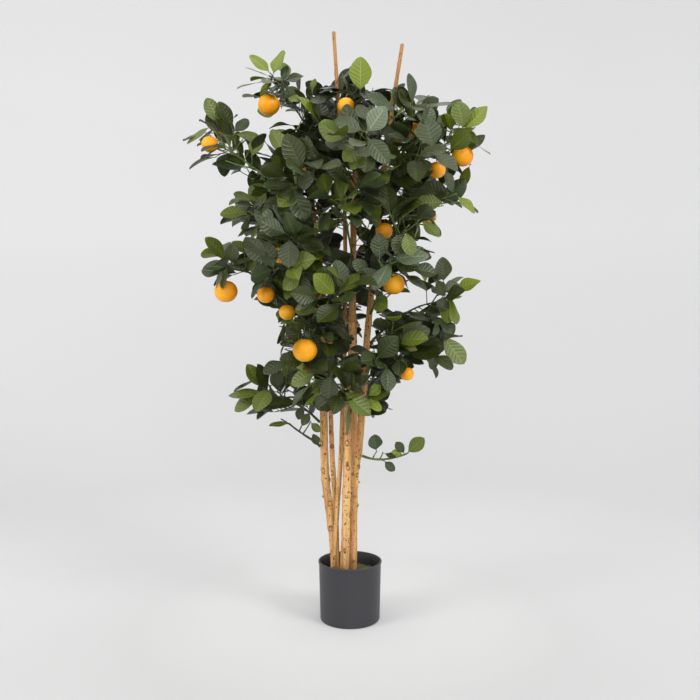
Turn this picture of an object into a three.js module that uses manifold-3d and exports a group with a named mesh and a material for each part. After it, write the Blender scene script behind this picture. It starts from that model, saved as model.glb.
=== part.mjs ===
// An artificial orange tree, 1.2 m high, in a filled nursery pot. Six bare wooden sticks stand in the pot,
// two of them taller than the leaves. Moulded sprays of leaves and oranges are pushed into them all round.
// Millimetres, +Z up. The origin is the centre of the pot's flat underside, and the front faces -Y.

import * as THREE from 'three';
import { mergeVertices } from 'three/addons/utils/BufferGeometryUtils.js';
import Module from 'manifold-3d';

const wasm = await Module();
wasm.setup();

// Touching pieces keep this gap.
const GAP = 0.3;

const POT = {
  height: 118,
  lipRadius: 64.5,
  lipHeight: 3.5,
  topRadius: 63.2,
  footRadius: 60.4,
  edge: 3,
  wall: 2,
  floor: 3,
  sides: 32,
};
const FILL_TOP = 93;

// Each stick: where its foot and its top are, its radius at both, how late it bends, how far it bows
// sideways on the way, and the heights of its knots. An elbow has its height, its half length, and how far
// the stick steps aside there.
const STICK_FOOT = FILL_TOP + GAP;
const STICK_SIDES = 8;
const STICK_STEPS = 9;
const WOBBLE = 1.8;
const WOBBLE_ANGLE = 14;
const KNOT_SWELL = 1.3;
const KNOT_HALF_LENGTH = 11;
const NO_ELBOW = [0, 1, 0];
const STICKS = {
  left_thick: {
    foot: [-28.6, -5], top: [-80, -25, 880], radii: [8.8, 6.4],
    bend: 2.1, bow: 0, knots: [187, 284], elbow: [195, 62, -19.6],
  },
  left_thin: {
    foot: [-27, 22], top: [-64, 40, 760], radii: [5.6, 4.4],
    bend: 1.4, bow: 0, knots: [], elbow: NO_ELBOW,
  },
  tall_left: {
    foot: [-35.5, -26], top: [-33.3, 9, 1199], radii: [5, 3.5],
    bend: 1, bow: 25, knots: [], elbow: NO_ELBOW,
  },
  centre: {
    foot: [-12, -33], top: [13, -33, 930], radii: [8.75, 5],
    bend: 1, bow: 0, knots: [262, 596], elbow: NO_ELBOW,
  },
  rear: {
    foot: [1, 20], top: [2, 40, 900], radii: [7, 4.6],
    bend: 1, bow: 8, knots: [330], elbow: NO_ELBOW,
  },
  tall_right: {
    foot: [5, -10], top: [107.5, 10, 1174], radii: [9, 3.7],
    bend: 2, bow: 0, knots: [232, 309], elbow: [335, 22, 13.5],
  },
};

// A spray's stem, its twigs and its leaves.
const STEM = { radii: [2.8, 2.2], sides: 4, step: 60, short: 30 };
const TWIG = {
  radii: [1.5, 1.4],
  sides: 3,
  pitch: 57,
  from: 0.2,
  to: 0.94,
  length: [42, 66],
  spread: [40, 68],
  lift: 0.22,
  retry: [25, 70],
};
const LEAF = { length: [68, 80], width: 0.54, thickness: 1.4 };
const YOUNG_LEAF = { length: [44, 54], width: 0.5, thickness: 1.1 };
// The angles by which leaves stand out of their twig: the last one, its pair, and those further back.
const LAST_SPREAD = [14, 32];
const PAIR_SPREAD = [52, 74];
const BACK_SPREAD = [48, 68];
const YOUNG_SPREAD = [20, 44];
const LEAF_DROOP = [0, 0.25];
const LEAF_RETRY = [20, 60];
const FACE_ALONG_TWIG = 0.8;
const FACE_UP = 0.45;
const FACE_SWAY = { x: [-0.35, 0.35], y: [-0.5, 0.2], z: [-0.2, 0.35] };
const BACK_LEAF_AT = 0.45;
// A blade's widths as shares along and across it, the narrow neck at its root, and how deep and how far apart
// the roots sit on a twig. Two leaves of one spray keep their middles apart.
const LEAF_OUTLINE = [[0.38, 0.88], [0.7, 0.9]];
const LEAF_ROOT = 1;
const LEAF_NECK = 0.08;
const LEAF_NECK_RADIUS = 0.9;
const ROOT_SUNK = 2.6;
const ROOT_PITCH = 4.6;
const LEAF_APART = 18;
// An orange, and the stalk that comes down to it from the part of the stem above it.
const FRUIT_SIDES = [8, 4];
const FRUIT_SQUASH = 0.96;
const STALK_RADIUS = 1.3;
const STALK_FROM = 1.6;
const STALK_SUNK = 0.85;
// How deep a rod's pointed end is sunk, and how far from there it has its full width.
const ROD_SUNK = 1.2;
const ROD_NECK = 3;
const GOLDEN_ANGLE = 137.5;
// Tries for each twig and leaf before it is left out.
const ATTEMPTS = 9;

// How far a twig or a leaf stays from the sticks, from fruit, and from the next spray's space.
const STICK_CLEARANCE = 4;
const FRUIT_CLEARANCE = 3;
const SPACE_CLEARANCE = 1.2;

// The sprays of the front and the two sides: the stick and the height where the stem starts, where its outer
// leaves reach, how far it arches, and its oranges, each a centre and a radius. A young one has few leaves.
const NAMED_SPRAYS = {
  crest_left: {
    stick: 'tall_left', from: 905, reaches: [-156, -20, 1108], arch: -0.08,
    fruit: [[-163, -25, 1039, 22]],
  },
  upper_left: {
    stick: 'left_thick', from: 815, reaches: [-296, 0, 985], arch: 0.1,
    fruit: [[-283, -16, 962, 17]],
  },
  upper_left_low: { stick: 'left_thin', from: 680, reaches: [-216, 62, 902], arch: 0.12, fruit: [] },
  mid_left: { stick: 'left_thick', from: 690, reaches: [-212, 15, 850], arch: 0.1, fruit: [] },
  low_left: {
    stick: 'left_thick',
    from: 585,
    reaches: [-262, -30, 748],
    arch: 0.06,
    fruit: [[-247, -35, 664, 23], [-165, -60, 656, 17], [-124, -50, 622, 16]],
  },
  low_left_inner: { stick: 'left_thin', from: 520, reaches: [-160, 70, 680], arch: 0.15, fruit: [] },
  base_left: { stick: 'left_thick', from: 400, reaches: [-208, -22, 468], arch: 0.25, fruit: [] },
  sprig_left: {
    stick: 'left_thick', from: 352, reaches: [-160, -50, 428], arch: 0.02, young: true,
    fruit: [],
  },
  sprig_right: {
    stick: 'tall_right', from: 332, reaches: [148, -22, 342], arch: -0.22, young: true,
    fruit: [],
  },
  base_right: {
    stick: 'tall_right', from: 465, reaches: [190, 0, 585], arch: 0.2,
    fruit: [[113, -40, 500, 14]],
  },
  mid_right: { stick: 'tall_right', from: 560, reaches: [214, -40, 660], arch: 0.22, fruit: [] },
  inner_right: {
    stick: 'tall_right', from: 620, reaches: [88, -135, 706], arch: 0.1,
    fruit: [[84, -90, 675, 21]],
  },
  upper_right: {
    stick: 'tall_right', from: 745, reaches: [198, 20, 876], arch: 0.15,
    fruit: [[68, -40, 784, 17]],
  },
  top_right: {
    stick: 'tall_right', from: 860, reaches: [250, 0, 1000], arch: 0.14,
    fruit: [[229, -4, 941, 22]],
  },
  crest_right: { stick: 'tall_right', from: 960, reaches: [160, -12, 1052], arch: 0.05, fruit: [] },
  crest: {
    stick: 'tall_left', from: 985, reaches: [18, -20, 1090], arch: 0.1,
    fruit: [[-8, -40, 1032, 17]],
  },
  crest_rear: { stick: 'tall_left', from: 960, reaches: [-66, 82, 1065], arch: 0.1, fruit: [] },
  front_top: { stick: 'centre', from: 850, reaches: [36, -185, 955], arch: 0.12, fruit: [] },
  front_top_left: { stick: 'left_thick', from: 790, reaches: [-96, -185, 905], arch: 0.1, fruit: [] },
  front_top_right: {
    stick: 'tall_right', from: 815, reaches: [140, -150, 930], arch: 0.1,
    fruit: [[170, -62, 900, 17]],
  },
  front_high: { stick: 'centre', from: 730, reaches: [-20, -195, 838], arch: 0.1, fruit: [] },
  front_left: {
    stick: 'left_thick', from: 650, reaches: [-130, -165, 765], arch: 0.12,
    fruit: [[-132, -112, 728, 16]],
  },
  front_right: { stick: 'tall_right', from: 690, reaches: [122, -150, 800], arch: 0.12, fruit: [] },
  front_left_low: { stick: 'centre', from: 560, reaches: [-48, -165, 672], arch: 0.15, fruit: [] },
  front_low_left: {
    stick: 'left_thick', from: 480, reaches: [-88, -145, 585], arch: 0.18,
    fruit: [[-84, -130, 549, 23]],
  },
  front_low: { stick: 'centre', from: 440, reaches: [-40, -140, 500], arch: 0.2, fruit: [] },
  front_low_right: { stick: 'centre', from: 420, reaches: [28, -104, 470], arch: 0.3, fruit: [] },
  front_right_low: { stick: 'tall_right', from: 500, reaches: [100, -118, 580], arch: 0.15, fruit: [] },
};

// The sprays of the back follow the crown's own width, round and up by a fixed turn and step.
const BACK = {
  count: 12,
  heights: [395, 1010],
  azimuths: [22, 158],
  turn: 0.382,
  rise: 90,
  arch: 0.14,
  sticks: ['tall_right', 'rear', 'left_thin', 'left_thick', 'tall_left'],
  fruitEvery: 3,
  fruitRadius: 18,
  fruitAt: 0.86,
  fruitHang: 43,
};
// How far the crown reaches from its middle, low down, where it is widest, and at its top.
const CROWN = {
  lowHeight: 400,
  lowReach: 165,
  highHeight: 940,
  highReach: 235,
  topHeight: 1110,
  topReach: 140,
};

// The front is seen from this far off and this high. A place as seen is its x and z where the line of sight
// meets the upright plane through the pot's middle.
const FRONT = { distance: 1510, height: 583 };
// Where the crown is open to the sky or to its sticks, as seen: ellipses, each by its middle, its half width
// and its half height.
const OPENINGS = [
  [-255, 1089, 53, 27], [-122, 1022, 29, 12], [-212, 1046, 24, 18], [-253, 885, 45, 18],
  [-294, 909, 16, 20], [-263, 795, 35, 14], [-216, 669, 14, 31], [-200, 587, 53, 53],
  [-163, 354, 69, 29], [-206, 395, 33, 16], [167, 1089, 27, 20], [61, 1105, 23, 28],
  [-57, 1126, 41, 29], [261, 1075, 29, 24], [296, 995, 16, 33], [273, 909, 18, 29],
  [214, 812, 29, 31], [167, 765, 31, 14], [237, 746, 37, 35], [118, 642, 47, 14],
  [247, 624, 22, 45], [220, 473, 41, 35], [159, 477, 27, 27], [108, 436, 22, 37],
  [90, 397, 45, 16], [102, 269, 53, 22], [-190, 528, 50, 16], [-224, 495, 20, 20],
  [-10, 342, 71, 84],
];
// Where the sticks show through the leaves: the same, but open only as far back as the sticks.
const STICK_OPENINGS = [[33, 612, 12, 55], [4, 612, 14, 31], [-4, 779, 18, 27]];
const STICKS_BACK = 50;
// The leaves that give the crown its outline and stand out at its front, by spray and in clusters. A cluster
// has the place where its twig ends, as seen but with its own depth. Then each leaf has its direction as
// seen, in degrees from the right, its length, and its width as seen. It leans forward or back by its sway,
// and is turned about its own length by the roll at least.
const SHOWN_LEAF = { width: 0.58, thickness: 1.4 };
const SHOWN_SWAY = [-0.35, 0.15];
const SHOWN_ROLL = 0.15;
// How far back towards the stem's foot a cluster's twig starts, how far as seen the middles of the leaves in
// front of a shown one stay from its own, and the first of the clusters' index numbers.
const SHOWN_BACK = 0.2;
const SHOWN_CLEAR = 26;
const SHOWN_INDEX = 50;
const SHOWN_LEAVES = {
  crest_left: [
    { at: [-163, -25, 1112], leaves: [[138, 50, 25], [65, 54, 27], [175, 48, 10]] },
    { at: [-167, -20, 1099], leaves: [[-167, 64, 12]] },
    { at: [-141, -15, 1097], leaves: [[12, 46, 22], [66, 30, 18], [-42, 51, 24]] },
    { at: [-135, -50, 1067], leaves: [[170, 47, 12], [-20, 36, 18]] },
    { at: [-76, -20, 1071], leaves: [[86, 30, 12]] },
  ],
  upper_left: [
    { at: [-267, 0, 1003], leaves: [[109, 57, 29]] },
    { at: [-286, -4, 1005], leaves: [[-143, 59, 22]] },
    { at: [-239, 12, 997], leaves: [[114, 58, 27], [30, 37, 25], [-17, 56, 23], [-70, 56, 16]] },
    { at: [-261, -48, 969], leaves: [[-159, 43, 14], [-144, 45, 10]] },
  ],
  upper_left_low: [
    { at: [-212, 30, 920], leaves: [[178, 65, 27]] },
    { at: [-180, 16, 912], leaves: [[130, 52, 27], [140, 37, 19]] },
  ],
  mid_left: [
    { at: [-190, 15, 852], leaves: [[165, 47, 19]] },
    { at: [-206, 15, 830], leaves: [[-174, 58, 28], [-106, 41, 9]] },
    { at: [-194, 15, 799], leaves: [[-153, 41, 12], [-105, 27, 12]] },
  ],
  low_left: [
    { at: [-249, -32, 724], leaves: [[126, 62, 24], [75, 38, 30]] },
    { at: [-190, -20, 740], leaves: [[153, 54, 18], [-166, 62, 16], [-132, 36, 24]] },
    { at: [-259, -66, 718], leaves: [[-107, 45, 12], [-90, 43, 16]] },
    { at: [-167, -88, 703], leaves: [[-124, 56, 11]] },
  ],
  front_left: [
    { at: [-124, -158, 783], leaves: [[159, 57, 33], [-92, 60, 37]] },
    { at: [-157, -138, 707], leaves: [[104, 54, 32]] },
  ],
  front_top_left: [
    { at: [-122, -165, 881], leaves: [[-65, 69, 35], [180, 47, 25], [-155, 38, 27], [17, 45, 33]] },
  ],
  front_top: [
    { at: [33, -175, 993], leaves: [[162, 58, 31], [50, 54, 38], [-55, 70, 36]] },
  ],
  front_top_right: [
    { at: [173, -125, 956], leaves: [[107, 60, 47], [-41, 58, 28]] },
  ],
  top_right: [
    { at: [235, -15, 995], leaves: [[105, 55, 40], [47, 63, 30], [-44, 69, 16], [180, 53, 12]] },
    { at: [247, 28, 924], leaves: [[-115, 48, 19]] },
  ],
  upper_right: [
    { at: [218, 10, 865], leaves: [[-48, 53, 23], [166, 74, 37]] },
    { at: [198, -10, 846], leaves: [[178, 61, 34]] },
    { at: [145, -15, 816], leaves: [[-46, 53, 26], [-148, 63, 24]] },
  ],
  crest_right: [
    { at: [127, -15, 1046], leaves: [[92, 59, 23], [7, 79, 24], [130, 38, 26]] },
    { at: [110, -15, 1032], leaves: [[112, 51, 26]] },
    { at: [98, -60, 1034], leaves: [[157, 65, 33]] },
  ],
  crest: [
    { at: [22, -45, 1071], leaves: [[90, 65, 42]] },
    { at: [-8, -30, 1077], leaves: [[175, 58, 12], [98, 34, 8]] },
  ],
  inner_right: [
    { at: [82, -136, 734], leaves: [[6, 69, 34], [-117, 65, 30], [-21, 58, 22]] },
    { at: [59, -140, 730], leaves: [[90, 48, 33]] },
    { at: [45, -128, 697], leaves: [[140, 45, 24]] },
  ],
  mid_right: [
    { at: [192, -35, 685], leaves: [[92, 48, 32]] },
    { at: [212, -48, 665], leaves: [
      [29, 55, 22], [-105, 63, 28], [-84, 63, 20], [-127, 47, 24],
      [150, 40, 24],
    ] },
  ],
  base_right: [
    { at: [188, -8, 581], leaves: [[-56, 75, 39]] },
    { at: [106, -20, 540], leaves: [[5, 77, 28], [-28, 48, 14]] },
    { at: [102, -66, 532], leaves: [[-93, 35, 27]] },
  ],
  front_left_low: [
    { at: [-27, -150, 658], leaves: [[139, 55, 35], [43, 57, 20]] },
  ],
  front_low_left: [
    { at: [-65, -100, 501], leaves: [[-160, 57, 27]] },
  ],
  front_low_right: [
    { at: [37, -98, 450], leaves: [[43, 32, 19], [-45, 34, 19], [15, 42, 17]] },
    { at: [-2, -70, 440], leaves: [[-93, 64, 7]] },
  ],
  front_low: [
    { at: [-16, -120, 463], leaves: [[-40, 71, 32]] },
    { at: [-39, -120, 503], leaves: [[-96, 54, 34]] },
  ],
  base_left: [
    { at: [-178, -28, 467], leaves: [[122, 58, 24], [-144, 72, 24], [-171, 68, 14], [100, 50, 18]] },
    { at: [-149, -15, 463], leaves: [[92, 42, 26]] },
    { at: [-120, -30, 528], leaves: [[-158, 60, 22]] },
    { at: [-94, -15, 503], leaves: [[-152, 38, 22]] },
    { at: [-98, -35, 436], leaves: [[178, 74, 18], [-105, 32, 18], [24, 40, 14]] },
  ],
  sprig_left: [
    { at: [-124, -48, 397], leaves: [[-175, 40, 8]] },
    { at: [-80, -52, 422], leaves: [[-122, 33, 18]] },
    { at: [-80, -50, 401], leaves: [[-50, 28, 16]] },
    { at: [-63, -42, 348], leaves: [[113, 28, 16]] },
  ],
  sprig_right: [
    { at: [55, -28, 340], leaves: [[100, 34, 28]] },
    { at: [118, -25, 336], leaves: [[46, 44, 26], [135, 32, 18], [175, 32, 12]] },
    { at: [67, -30, 338], leaves: [[-15, 28, 8]] },
    { at: [71, -30, 320], leaves: [[-48, 28, 18]] },
  ],
};

const UP = new THREE.Vector3(0, 0, 1);

function lerp(low, high, share) {
  return low + (high - low) * share;
}

// A repeatable number from 0 to 1 for each list of whole numbers.
function hashed(...keys) {
  let word = 0x9e3779b9;
  for (const key of keys) {
    word = Math.imul(word ^ key, 0x85ebca6b);
    word ^= word >>> 13;
    word = Math.imul(word, 0xc2b2ae35);
    word ^= word >>> 16;
  }
  return (word >>> 0) / 4294967296;
}

// A drawer of repeatable numbers for one twig or leaf.
function drawer(...keys) {
  let drawn = 0;
  return (low, high) => lerp(low, high, hashed(...keys, drawn++));
}

// The heights of a stick's rings: even steps, and three rings at each knot.
function ringHeights(stick) {
  const heights = [];
  for (let step = 0; step <= STICK_STEPS; step++) {
    const height = lerp(STICK_FOOT, stick.top[2], step / STICK_STEPS);
    if (stick.knots.every((knot) => Math.abs(height - knot) > 2 * KNOT_HALF_LENGTH)) {
      heights.push(height);
    }
  }
  for (const knot of stick.knots) {
    heights.push(knot - KNOT_HALF_LENGTH, knot, knot + KNOT_HALF_LENGTH);
  }
  return heights.sort((a, b) => a - b);
}

// A stick's level rings, each a centre and a radius at a height.
function stickRings(stick) {
  return ringHeights(stick).map((height) => {
    const share = (height - STICK_FOOT) / (stick.top[2] - STICK_FOOT);
    const along = Math.pow(share, stick.bend);
    const swing = Math.sin(Math.PI * share);
    const wave = WOBBLE * swing * Math.sin(stick.top[2] + WOBBLE_ANGLE * share);
    const [elbow, halfLength, aside] = stick.elbow;
    const step = aside * (0.5 + 0.5 * Math.tanh((height - elbow) / halfLength));
    return {
      height,
      x: lerp(stick.foot[0], stick.top[0] - aside, along) + step + stick.bow * swing + wave,
      y: lerp(stick.foot[1], stick.top[1], along) + wave / 2,
      radius: lerp(...stick.radii, share) + (stick.knots.includes(height) ? KNOT_SWELL : 0),
    };
  });
}

const rings = {};
for (const [name, stick] of Object.entries(STICKS)) {
  rings[name] = stickRings(stick);
}

// A stick's centre and radius at a height.
function stickAt(name, height) {
  const own = rings[name];
  let above = 1;
  while (above < own.length - 1 && own[above].height < height) {
    above += 1;
  }
  const [low, high] = [own[above - 1], own[above]];
  const share = THREE.MathUtils.clamp((height - low.height) / (high.height - low.height), 0, 1);
  return {
    x: lerp(low.x, high.x, share),
    y: lerp(low.y, high.y, share),
    radius: lerp(low.radius, high.radius, share),
  };
}

// A plain closed cylinder along Z whose rings are then set one by one.
function ringedTube(sides, rings, placeRing) {
  const tube = new THREE.CylinderGeometry(1, 1, 1, sides, rings - 1);
  tube.rotateX(Math.PI / 2);
  const position = tube.attributes.position;
  const point = new THREE.Vector3();
  for (let i = 0; i < position.count; i++) {
    point.fromBufferAttribute(position, i);
    const ring = Math.round((point.z + 0.5) * (rings - 1));
    placeRing(point, ring);
    position.setXYZ(i, point.x, point.y, point.z);
  }
  return tube;
}

function stickGeometry(name) {
  return ringedTube(STICK_SIDES, rings[name].length, (point, ring) => {
    const { x, y, radius, height } = rings[name][ring];
    point.set(x + radius * point.x, y + radius * point.y, height);
  });
}

// Two directions square to a given one, the first of them level.
function frameOf(direction) {
  const side = new THREE.Vector3().crossVectors(direction, UP);
  if (side.length() < 0.05) {
    side.set(1, 0, 0);
  }
  side.normalize();
  const rise = new THREE.Vector3().crossVectors(side, direction).normalize();
  return { side, rise };
}

// A tube through points, each ring square to its own direction and of its own radius.
function taperedTube(points, directions, radii, sides) {
  return ringedTube(sides, points.length, (point, ring) => {
    const { side, rise } = frameOf(directions[ring]);
    const { x, y } = point;
    point.copy(points[ring]);
    point.addScaledVector(side, -x * radii[ring]).addScaledVector(rise, y * radii[ring]);
  });
}

// A straight rod whose pointed foot, and head where asked, is sunk in what carries it.
function sunkRod(from, to, radii, pointedHead) {
  const direction = to.clone().sub(from);
  const length = direction.length();
  direction.normalize();
  const places = [-ROD_SUNK, ROD_NECK, length - (pointedHead ? ROD_NECK : 0)];
  const ringRadii = [0, ...radii];
  if (pointedHead) {
    places.push(length + ROD_SUNK);
    ringRadii.push(0);
  }
  const points = places.map((place) => from.clone().addScaledVector(direction, place));
  return taperedTube(points, points.map(() => direction), ringRadii, TWIG.sides);
}

// The stem leaves its stick level and square, clear of it by the gap, and arches to its tip.
function stemCurve(spray) {
  const at = stickAt(spray.stick, spray.from);
  const end = new THREE.Vector3(...spray.reaches);
  const out = new THREE.Vector3(end.x - at.x, end.y - at.y, 0).normalize();
  const foot = new THREE.Vector3(at.x, at.y, spray.from).addScaledVector(out, at.radius + GAP);
  const tip = end.clone().addScaledVector(end.clone().sub(foot).normalize(), -STEM.short);
  const reach = foot.distanceTo(tip);
  const middle = foot.clone().lerp(tip, 0.5).addScaledVector(UP, spray.arch * reach);
  const curve = new THREE.QuadraticBezierCurve3(foot, middle, tip);
  const steps = Math.max(3, Math.round(reach / STEM.step));
  const points = [];
  const directions = [];
  for (let step = 0; step <= steps; step++) {
    points.push(curve.getPoint(step / steps));
    directions.push(curve.getTangent(step / steps));
  }
  const above = stickAt(spray.stick, spray.from + 1);
  const lean = new THREE.Vector3(above.x - at.x, above.y - at.y, 1).normalize();
  directions[0] = out.clone().addScaledVector(lean, -out.dot(lean)).normalize();
  return { curve, points, directions, reach };
}

// How far the crown reaches from its middle at a height.
function crownReach(height) {
  const share = (height - CROWN.lowHeight) / (CROWN.highHeight - CROWN.lowHeight);
  if (share <= 1) {
    return lerp(CROWN.lowReach, CROWN.highReach, THREE.MathUtils.clamp(share, 0, 1));
  }
  const over = (height - CROWN.highHeight) / (CROWN.topHeight - CROWN.highHeight);
  return lerp(CROWN.highReach, CROWN.topReach, Math.min(1, over));
}

// The nearest point of a stem to a place.
function nearestOnStem(points, place) {
  const nearest = new THREE.Vector3();
  const candidate = new THREE.Vector3();
  const line = new THREE.Line3();
  let best = Infinity;
  for (let i = 1; i < points.length; i++) {
    line.set(points[i - 1], points[i]).closestPointToPoint(place, true, candidate);
    const distance = candidate.distanceTo(place);
    if (distance < best) {
      best = distance;
      nearest.copy(candidate);
    }
  }
  return { nearest, distance: best };
}

function backSprays() {
  const sprays = {};
  for (let i = 0; i < BACK.count; i++) {
    const share = i / (BACK.count - 1);
    const turned = ((i + 1) * BACK.turn) % 1;
    const azimuth = THREE.MathUtils.degToRad(lerp(BACK.azimuths[0], BACK.azimuths[1], turned));
    const from = lerp(BACK.heights[0], BACK.heights[1], share);
    const reachable = BACK.sticks.filter((name) => STICKS[name].top[2] > from + BACK.rise);
    const stick = reachable[Math.floor(turned * reachable.length)];
    const height = from + BACK.rise;
    const reach = crownReach(height);
    const reaches = [reach * Math.cos(azimuth), reach * Math.sin(azimuth), height];
    const fruit = [];
    if (i % BACK.fruitEvery === 1) {
      const [x, y] = reaches.map((value) => BACK.fruitAt * value);
      fruit.push([x, y, height - BACK.fruitHang, BACK.fruitRadius]);
    }
    sprays[`back_${i + 1}`] = { stick, from, reaches, arch: BACK.arch, fruit };
  }
  return sprays;
}

const sprays = { ...NAMED_SPRAYS, ...backSprays() };
const sprayNames = Object.keys(sprays);
const stems = sprayNames.map((name) => stemCurve(sprays[name]));
const allFruit = sprayNames.flatMap((name) => sprays[name].fruit);

function asSeen(point) {
  const nearer = FRONT.distance / (FRONT.distance + point.y);
  return { x: point.x * nearer, z: lerp(FRONT.height, point.z, nearer) };
}

function inOpening(point) {
  const { x, z } = asSeen(point);
  const openings = point.y < STICKS_BACK ? [...OPENINGS, ...STICK_OPENINGS] : OPENINGS;
  return openings.some(([middleX, middleZ, halfWidth, halfHeight]) => {
    return Math.hypot((x - middleX) / halfWidth, (z - middleZ) / halfHeight) < 1;
  });
}

// True where a point is in the spray's own space, clear of the openings, of every stick and of every orange.
function isFree(point, own) {
  if (inOpening(point)) {
    return false;
  }
  for (const [name, stick] of Object.entries(STICKS)) {
    const at = stickAt(name, point.z);
    const clear = at.radius + STICK_CLEARANCE;
    if (point.z < stick.top[2] + STICK_CLEARANCE && Math.hypot(point.x - at.x, point.y - at.y) < clear) {
      return false;
    }
  }
  for (const [x, y, z, radius] of allFruit) {
    if (Math.hypot(point.x - x, point.y - y, point.z - z) < radius + FRUIT_CLEARANCE) {
      return false;
    }
  }
  const limit = nearestOnStem(stems[own].points, point).distance + SPACE_CLEARANCE;
  return stems.every((stem, i) => i === own || nearestOnStem(stem.points, point).distance > limit);
}

function placeTwig(own, index, start, direction, attempt) {
  const draw = drawer(own, index, 0, attempt);
  const { side, rise } = frameOf(direction);
  const spread = THREE.MathUtils.degToRad(draw(...TWIG.spread));
  const turned = GOLDEN_ANGLE * index + 360 * hashed(own) + attempt * draw(...TWIG.retry);
  const turn = THREE.MathUtils.degToRad(turned);
  const heading = direction.clone().multiplyScalar(Math.cos(spread));
  heading.addScaledVector(side, Math.sin(spread) * Math.cos(turn));
  heading.addScaledVector(rise, Math.sin(spread) * Math.sin(turn));
  heading.z += TWIG.lift;
  heading.normalize();
  const length = draw(...TWIG.length);
  return { start, heading, length, end: start.clone().addScaledVector(heading, length) };
}

function twigIsFree(twig, own) {
  const places = [0.35, 0.7, 1.05];
  return places.every((share) => {
    return isFree(twig.start.clone().addScaledVector(twig.heading, share * twig.length), own);
  });
}

// A leaf stands out of its twig at a spread angle, with its upper face towards the twig's tip and the sky.
function placeLeaf(kind, own, index, leaf, root, heading, spreads, attempt) {
  const draw = drawer(own, index, leaf + 1, attempt);
  const { side, rise } = frameOf(heading);
  const spread = THREE.MathUtils.degToRad(draw(...spreads));
  const turned = GOLDEN_ANGLE * leaf + 360 * hashed(own, index) + attempt * draw(...LEAF_RETRY);
  const turn = THREE.MathUtils.degToRad(turned);
  const along = heading.clone().multiplyScalar(Math.cos(spread));
  along.addScaledVector(side, Math.sin(spread) * Math.cos(turn));
  along.addScaledVector(rise, Math.sin(spread) * Math.sin(turn));
  along.z -= draw(...LEAF_DROOP);
  along.normalize();
  const face = heading.clone().multiplyScalar(FACE_ALONG_TWIG);
  face.x += draw(...FACE_SWAY.x);
  face.y += draw(...FACE_SWAY.y);
  face.z += FACE_UP + draw(...FACE_SWAY.z);
  face.addScaledVector(along, -face.dot(along)).normalize();
  return toLeaf(kind, root, along, face, draw(...kind.length));
}

function toLeaf(kind, root, along, face, length) {
  const across = new THREE.Vector3().crossVectors(face, along);
  return { kind, root, along, face, across, length, halfWidth: 0.5 * kind.width * length };
}

// A shown leaf faces the front and ends where its tip is seen, measured from its cluster's place. One that
// looks narrower than a leaf is wide is turned about its own length, with its face towards the sky.
function shownLeaf(own, cluster, leaf, root, place, [angle, reach, seenWidth]) {
  const draw = drawer(own, SHOWN_INDEX + cluster, leaf + 1);
  const turn = THREE.MathUtils.degToRad(angle);
  const toTip = new THREE.Vector3(Math.cos(turn), draw(...SHOWN_SWAY), Math.sin(turn)).multiplyScalar(reach);
  const along = place.clone().add(toTip).sub(root);
  const length = along.length();
  along.normalize();
  const face = new THREE.Vector3(0, -1, 0);
  face.addScaledVector(along, -face.dot(along)).normalize();
  const width = Math.max(seenWidth / length, SHOWN_LEAF.width);
  const rolled = Math.max(SHOWN_ROLL, Math.acos(seenWidth / (width * length)));
  face.applyAxisAngle(along, along.x > 0 ? -rolled : rolled);
  return toLeaf({ ...SHOWN_LEAF, width }, root, along, face, length);
}

// A cluster's twig runs from the stem to the cluster's place, and its leaves step back along the twig's end.
function shownCluster(own, index, { at: [x, y, z], leaves }) {
  const further = (FRONT.distance + y) / FRONT.distance;
  const end = new THREE.Vector3(x * further, y, lerp(FRONT.height, z, further));
  const { points } = stems[own];
  const start = nearestOnStem(points, end.clone().lerp(points[0], SHOWN_BACK)).nearest;
  const heading = end.clone().sub(start);
  const length = heading.length();
  heading.normalize();
  const pitch = Math.min(ROOT_PITCH, length / (leaves.length + 1));
  return {
    twig: { start, heading, length, end },
    leaves: leaves.map((leaf, number) => {
      const root = end.clone().addScaledVector(heading, -ROOT_SUNK - number * pitch);
      return shownLeaf(own, index, number, root, end, leaf);
    }),
  };
}

// A point on the leaf, from shares of its length and of its half width.
function onLeaf(leaf, along, across, above) {
  return leaf.root.clone()
    .addScaledVector(leaf.along, along * leaf.length)
    .addScaledVector(leaf.across, across * leaf.halfWidth)
    .addScaledVector(leaf.face, above);
}

function middleOf(leaf) {
  return onLeaf(leaf, 0.5, 0, 0);
}

function leafIsFree(leaf, own) {
  const places = [[0.2, 0.6], [0.4, 0.95], [0.6, 0.95], [0.8, 0.55], [1, 0]];
  return places.every(([along, across]) => {
    return [-1, 0, 1].every((side) => isFree(onLeaf(leaf, along, side * across, 0), own));
  });
}

// The blade's half width at a share of its length, as a share of its widest.
function outlineAt(along) {
  const stations = [[LEAF_NECK, 0], ...LEAF_OUTLINE, [1, 0]];
  for (let i = 1; i < stations.length; i++) {
    const [before, beforeWidth] = stations[i - 1];
    const [after, afterWidth] = stations[i];
    if (along <= after) {
      return lerp(beforeWidth, afterWidth, (along - before) / (after - before));
    }
  }
  return 0;
}

// The straight lines of a leaf's rim and midrib.
function leafLines(leaf) {
  const rim = [[0, 0], ...LEAF_OUTLINE, [1, 0]];
  return [-1, 0, 1].flatMap((side) => rim.slice(1).map(([along, across], i) => [
    onLeaf(leaf, rim[i][0], side * rim[i][1], 0),
    onLeaf(leaf, along, side * across, 0),
  ]));
}

// True where a line goes through a leaf's blade.
function pierces(line, leaf) {
  const from = line[0].clone().sub(leaf.root);
  const to = line[1].clone().sub(leaf.root);
  const below = from.dot(leaf.face);
  const above = to.dot(leaf.face);
  if (below * above >= 0) {
    return false;
  }
  const place = from.lerp(to, below / (below - above));
  const along = place.dot(leaf.along) / leaf.length;
  const across = Math.abs(place.dot(leaf.across)) / leaf.halfWidth;
  return along > LEAF_NECK && across < outlineAt(along);
}

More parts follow.
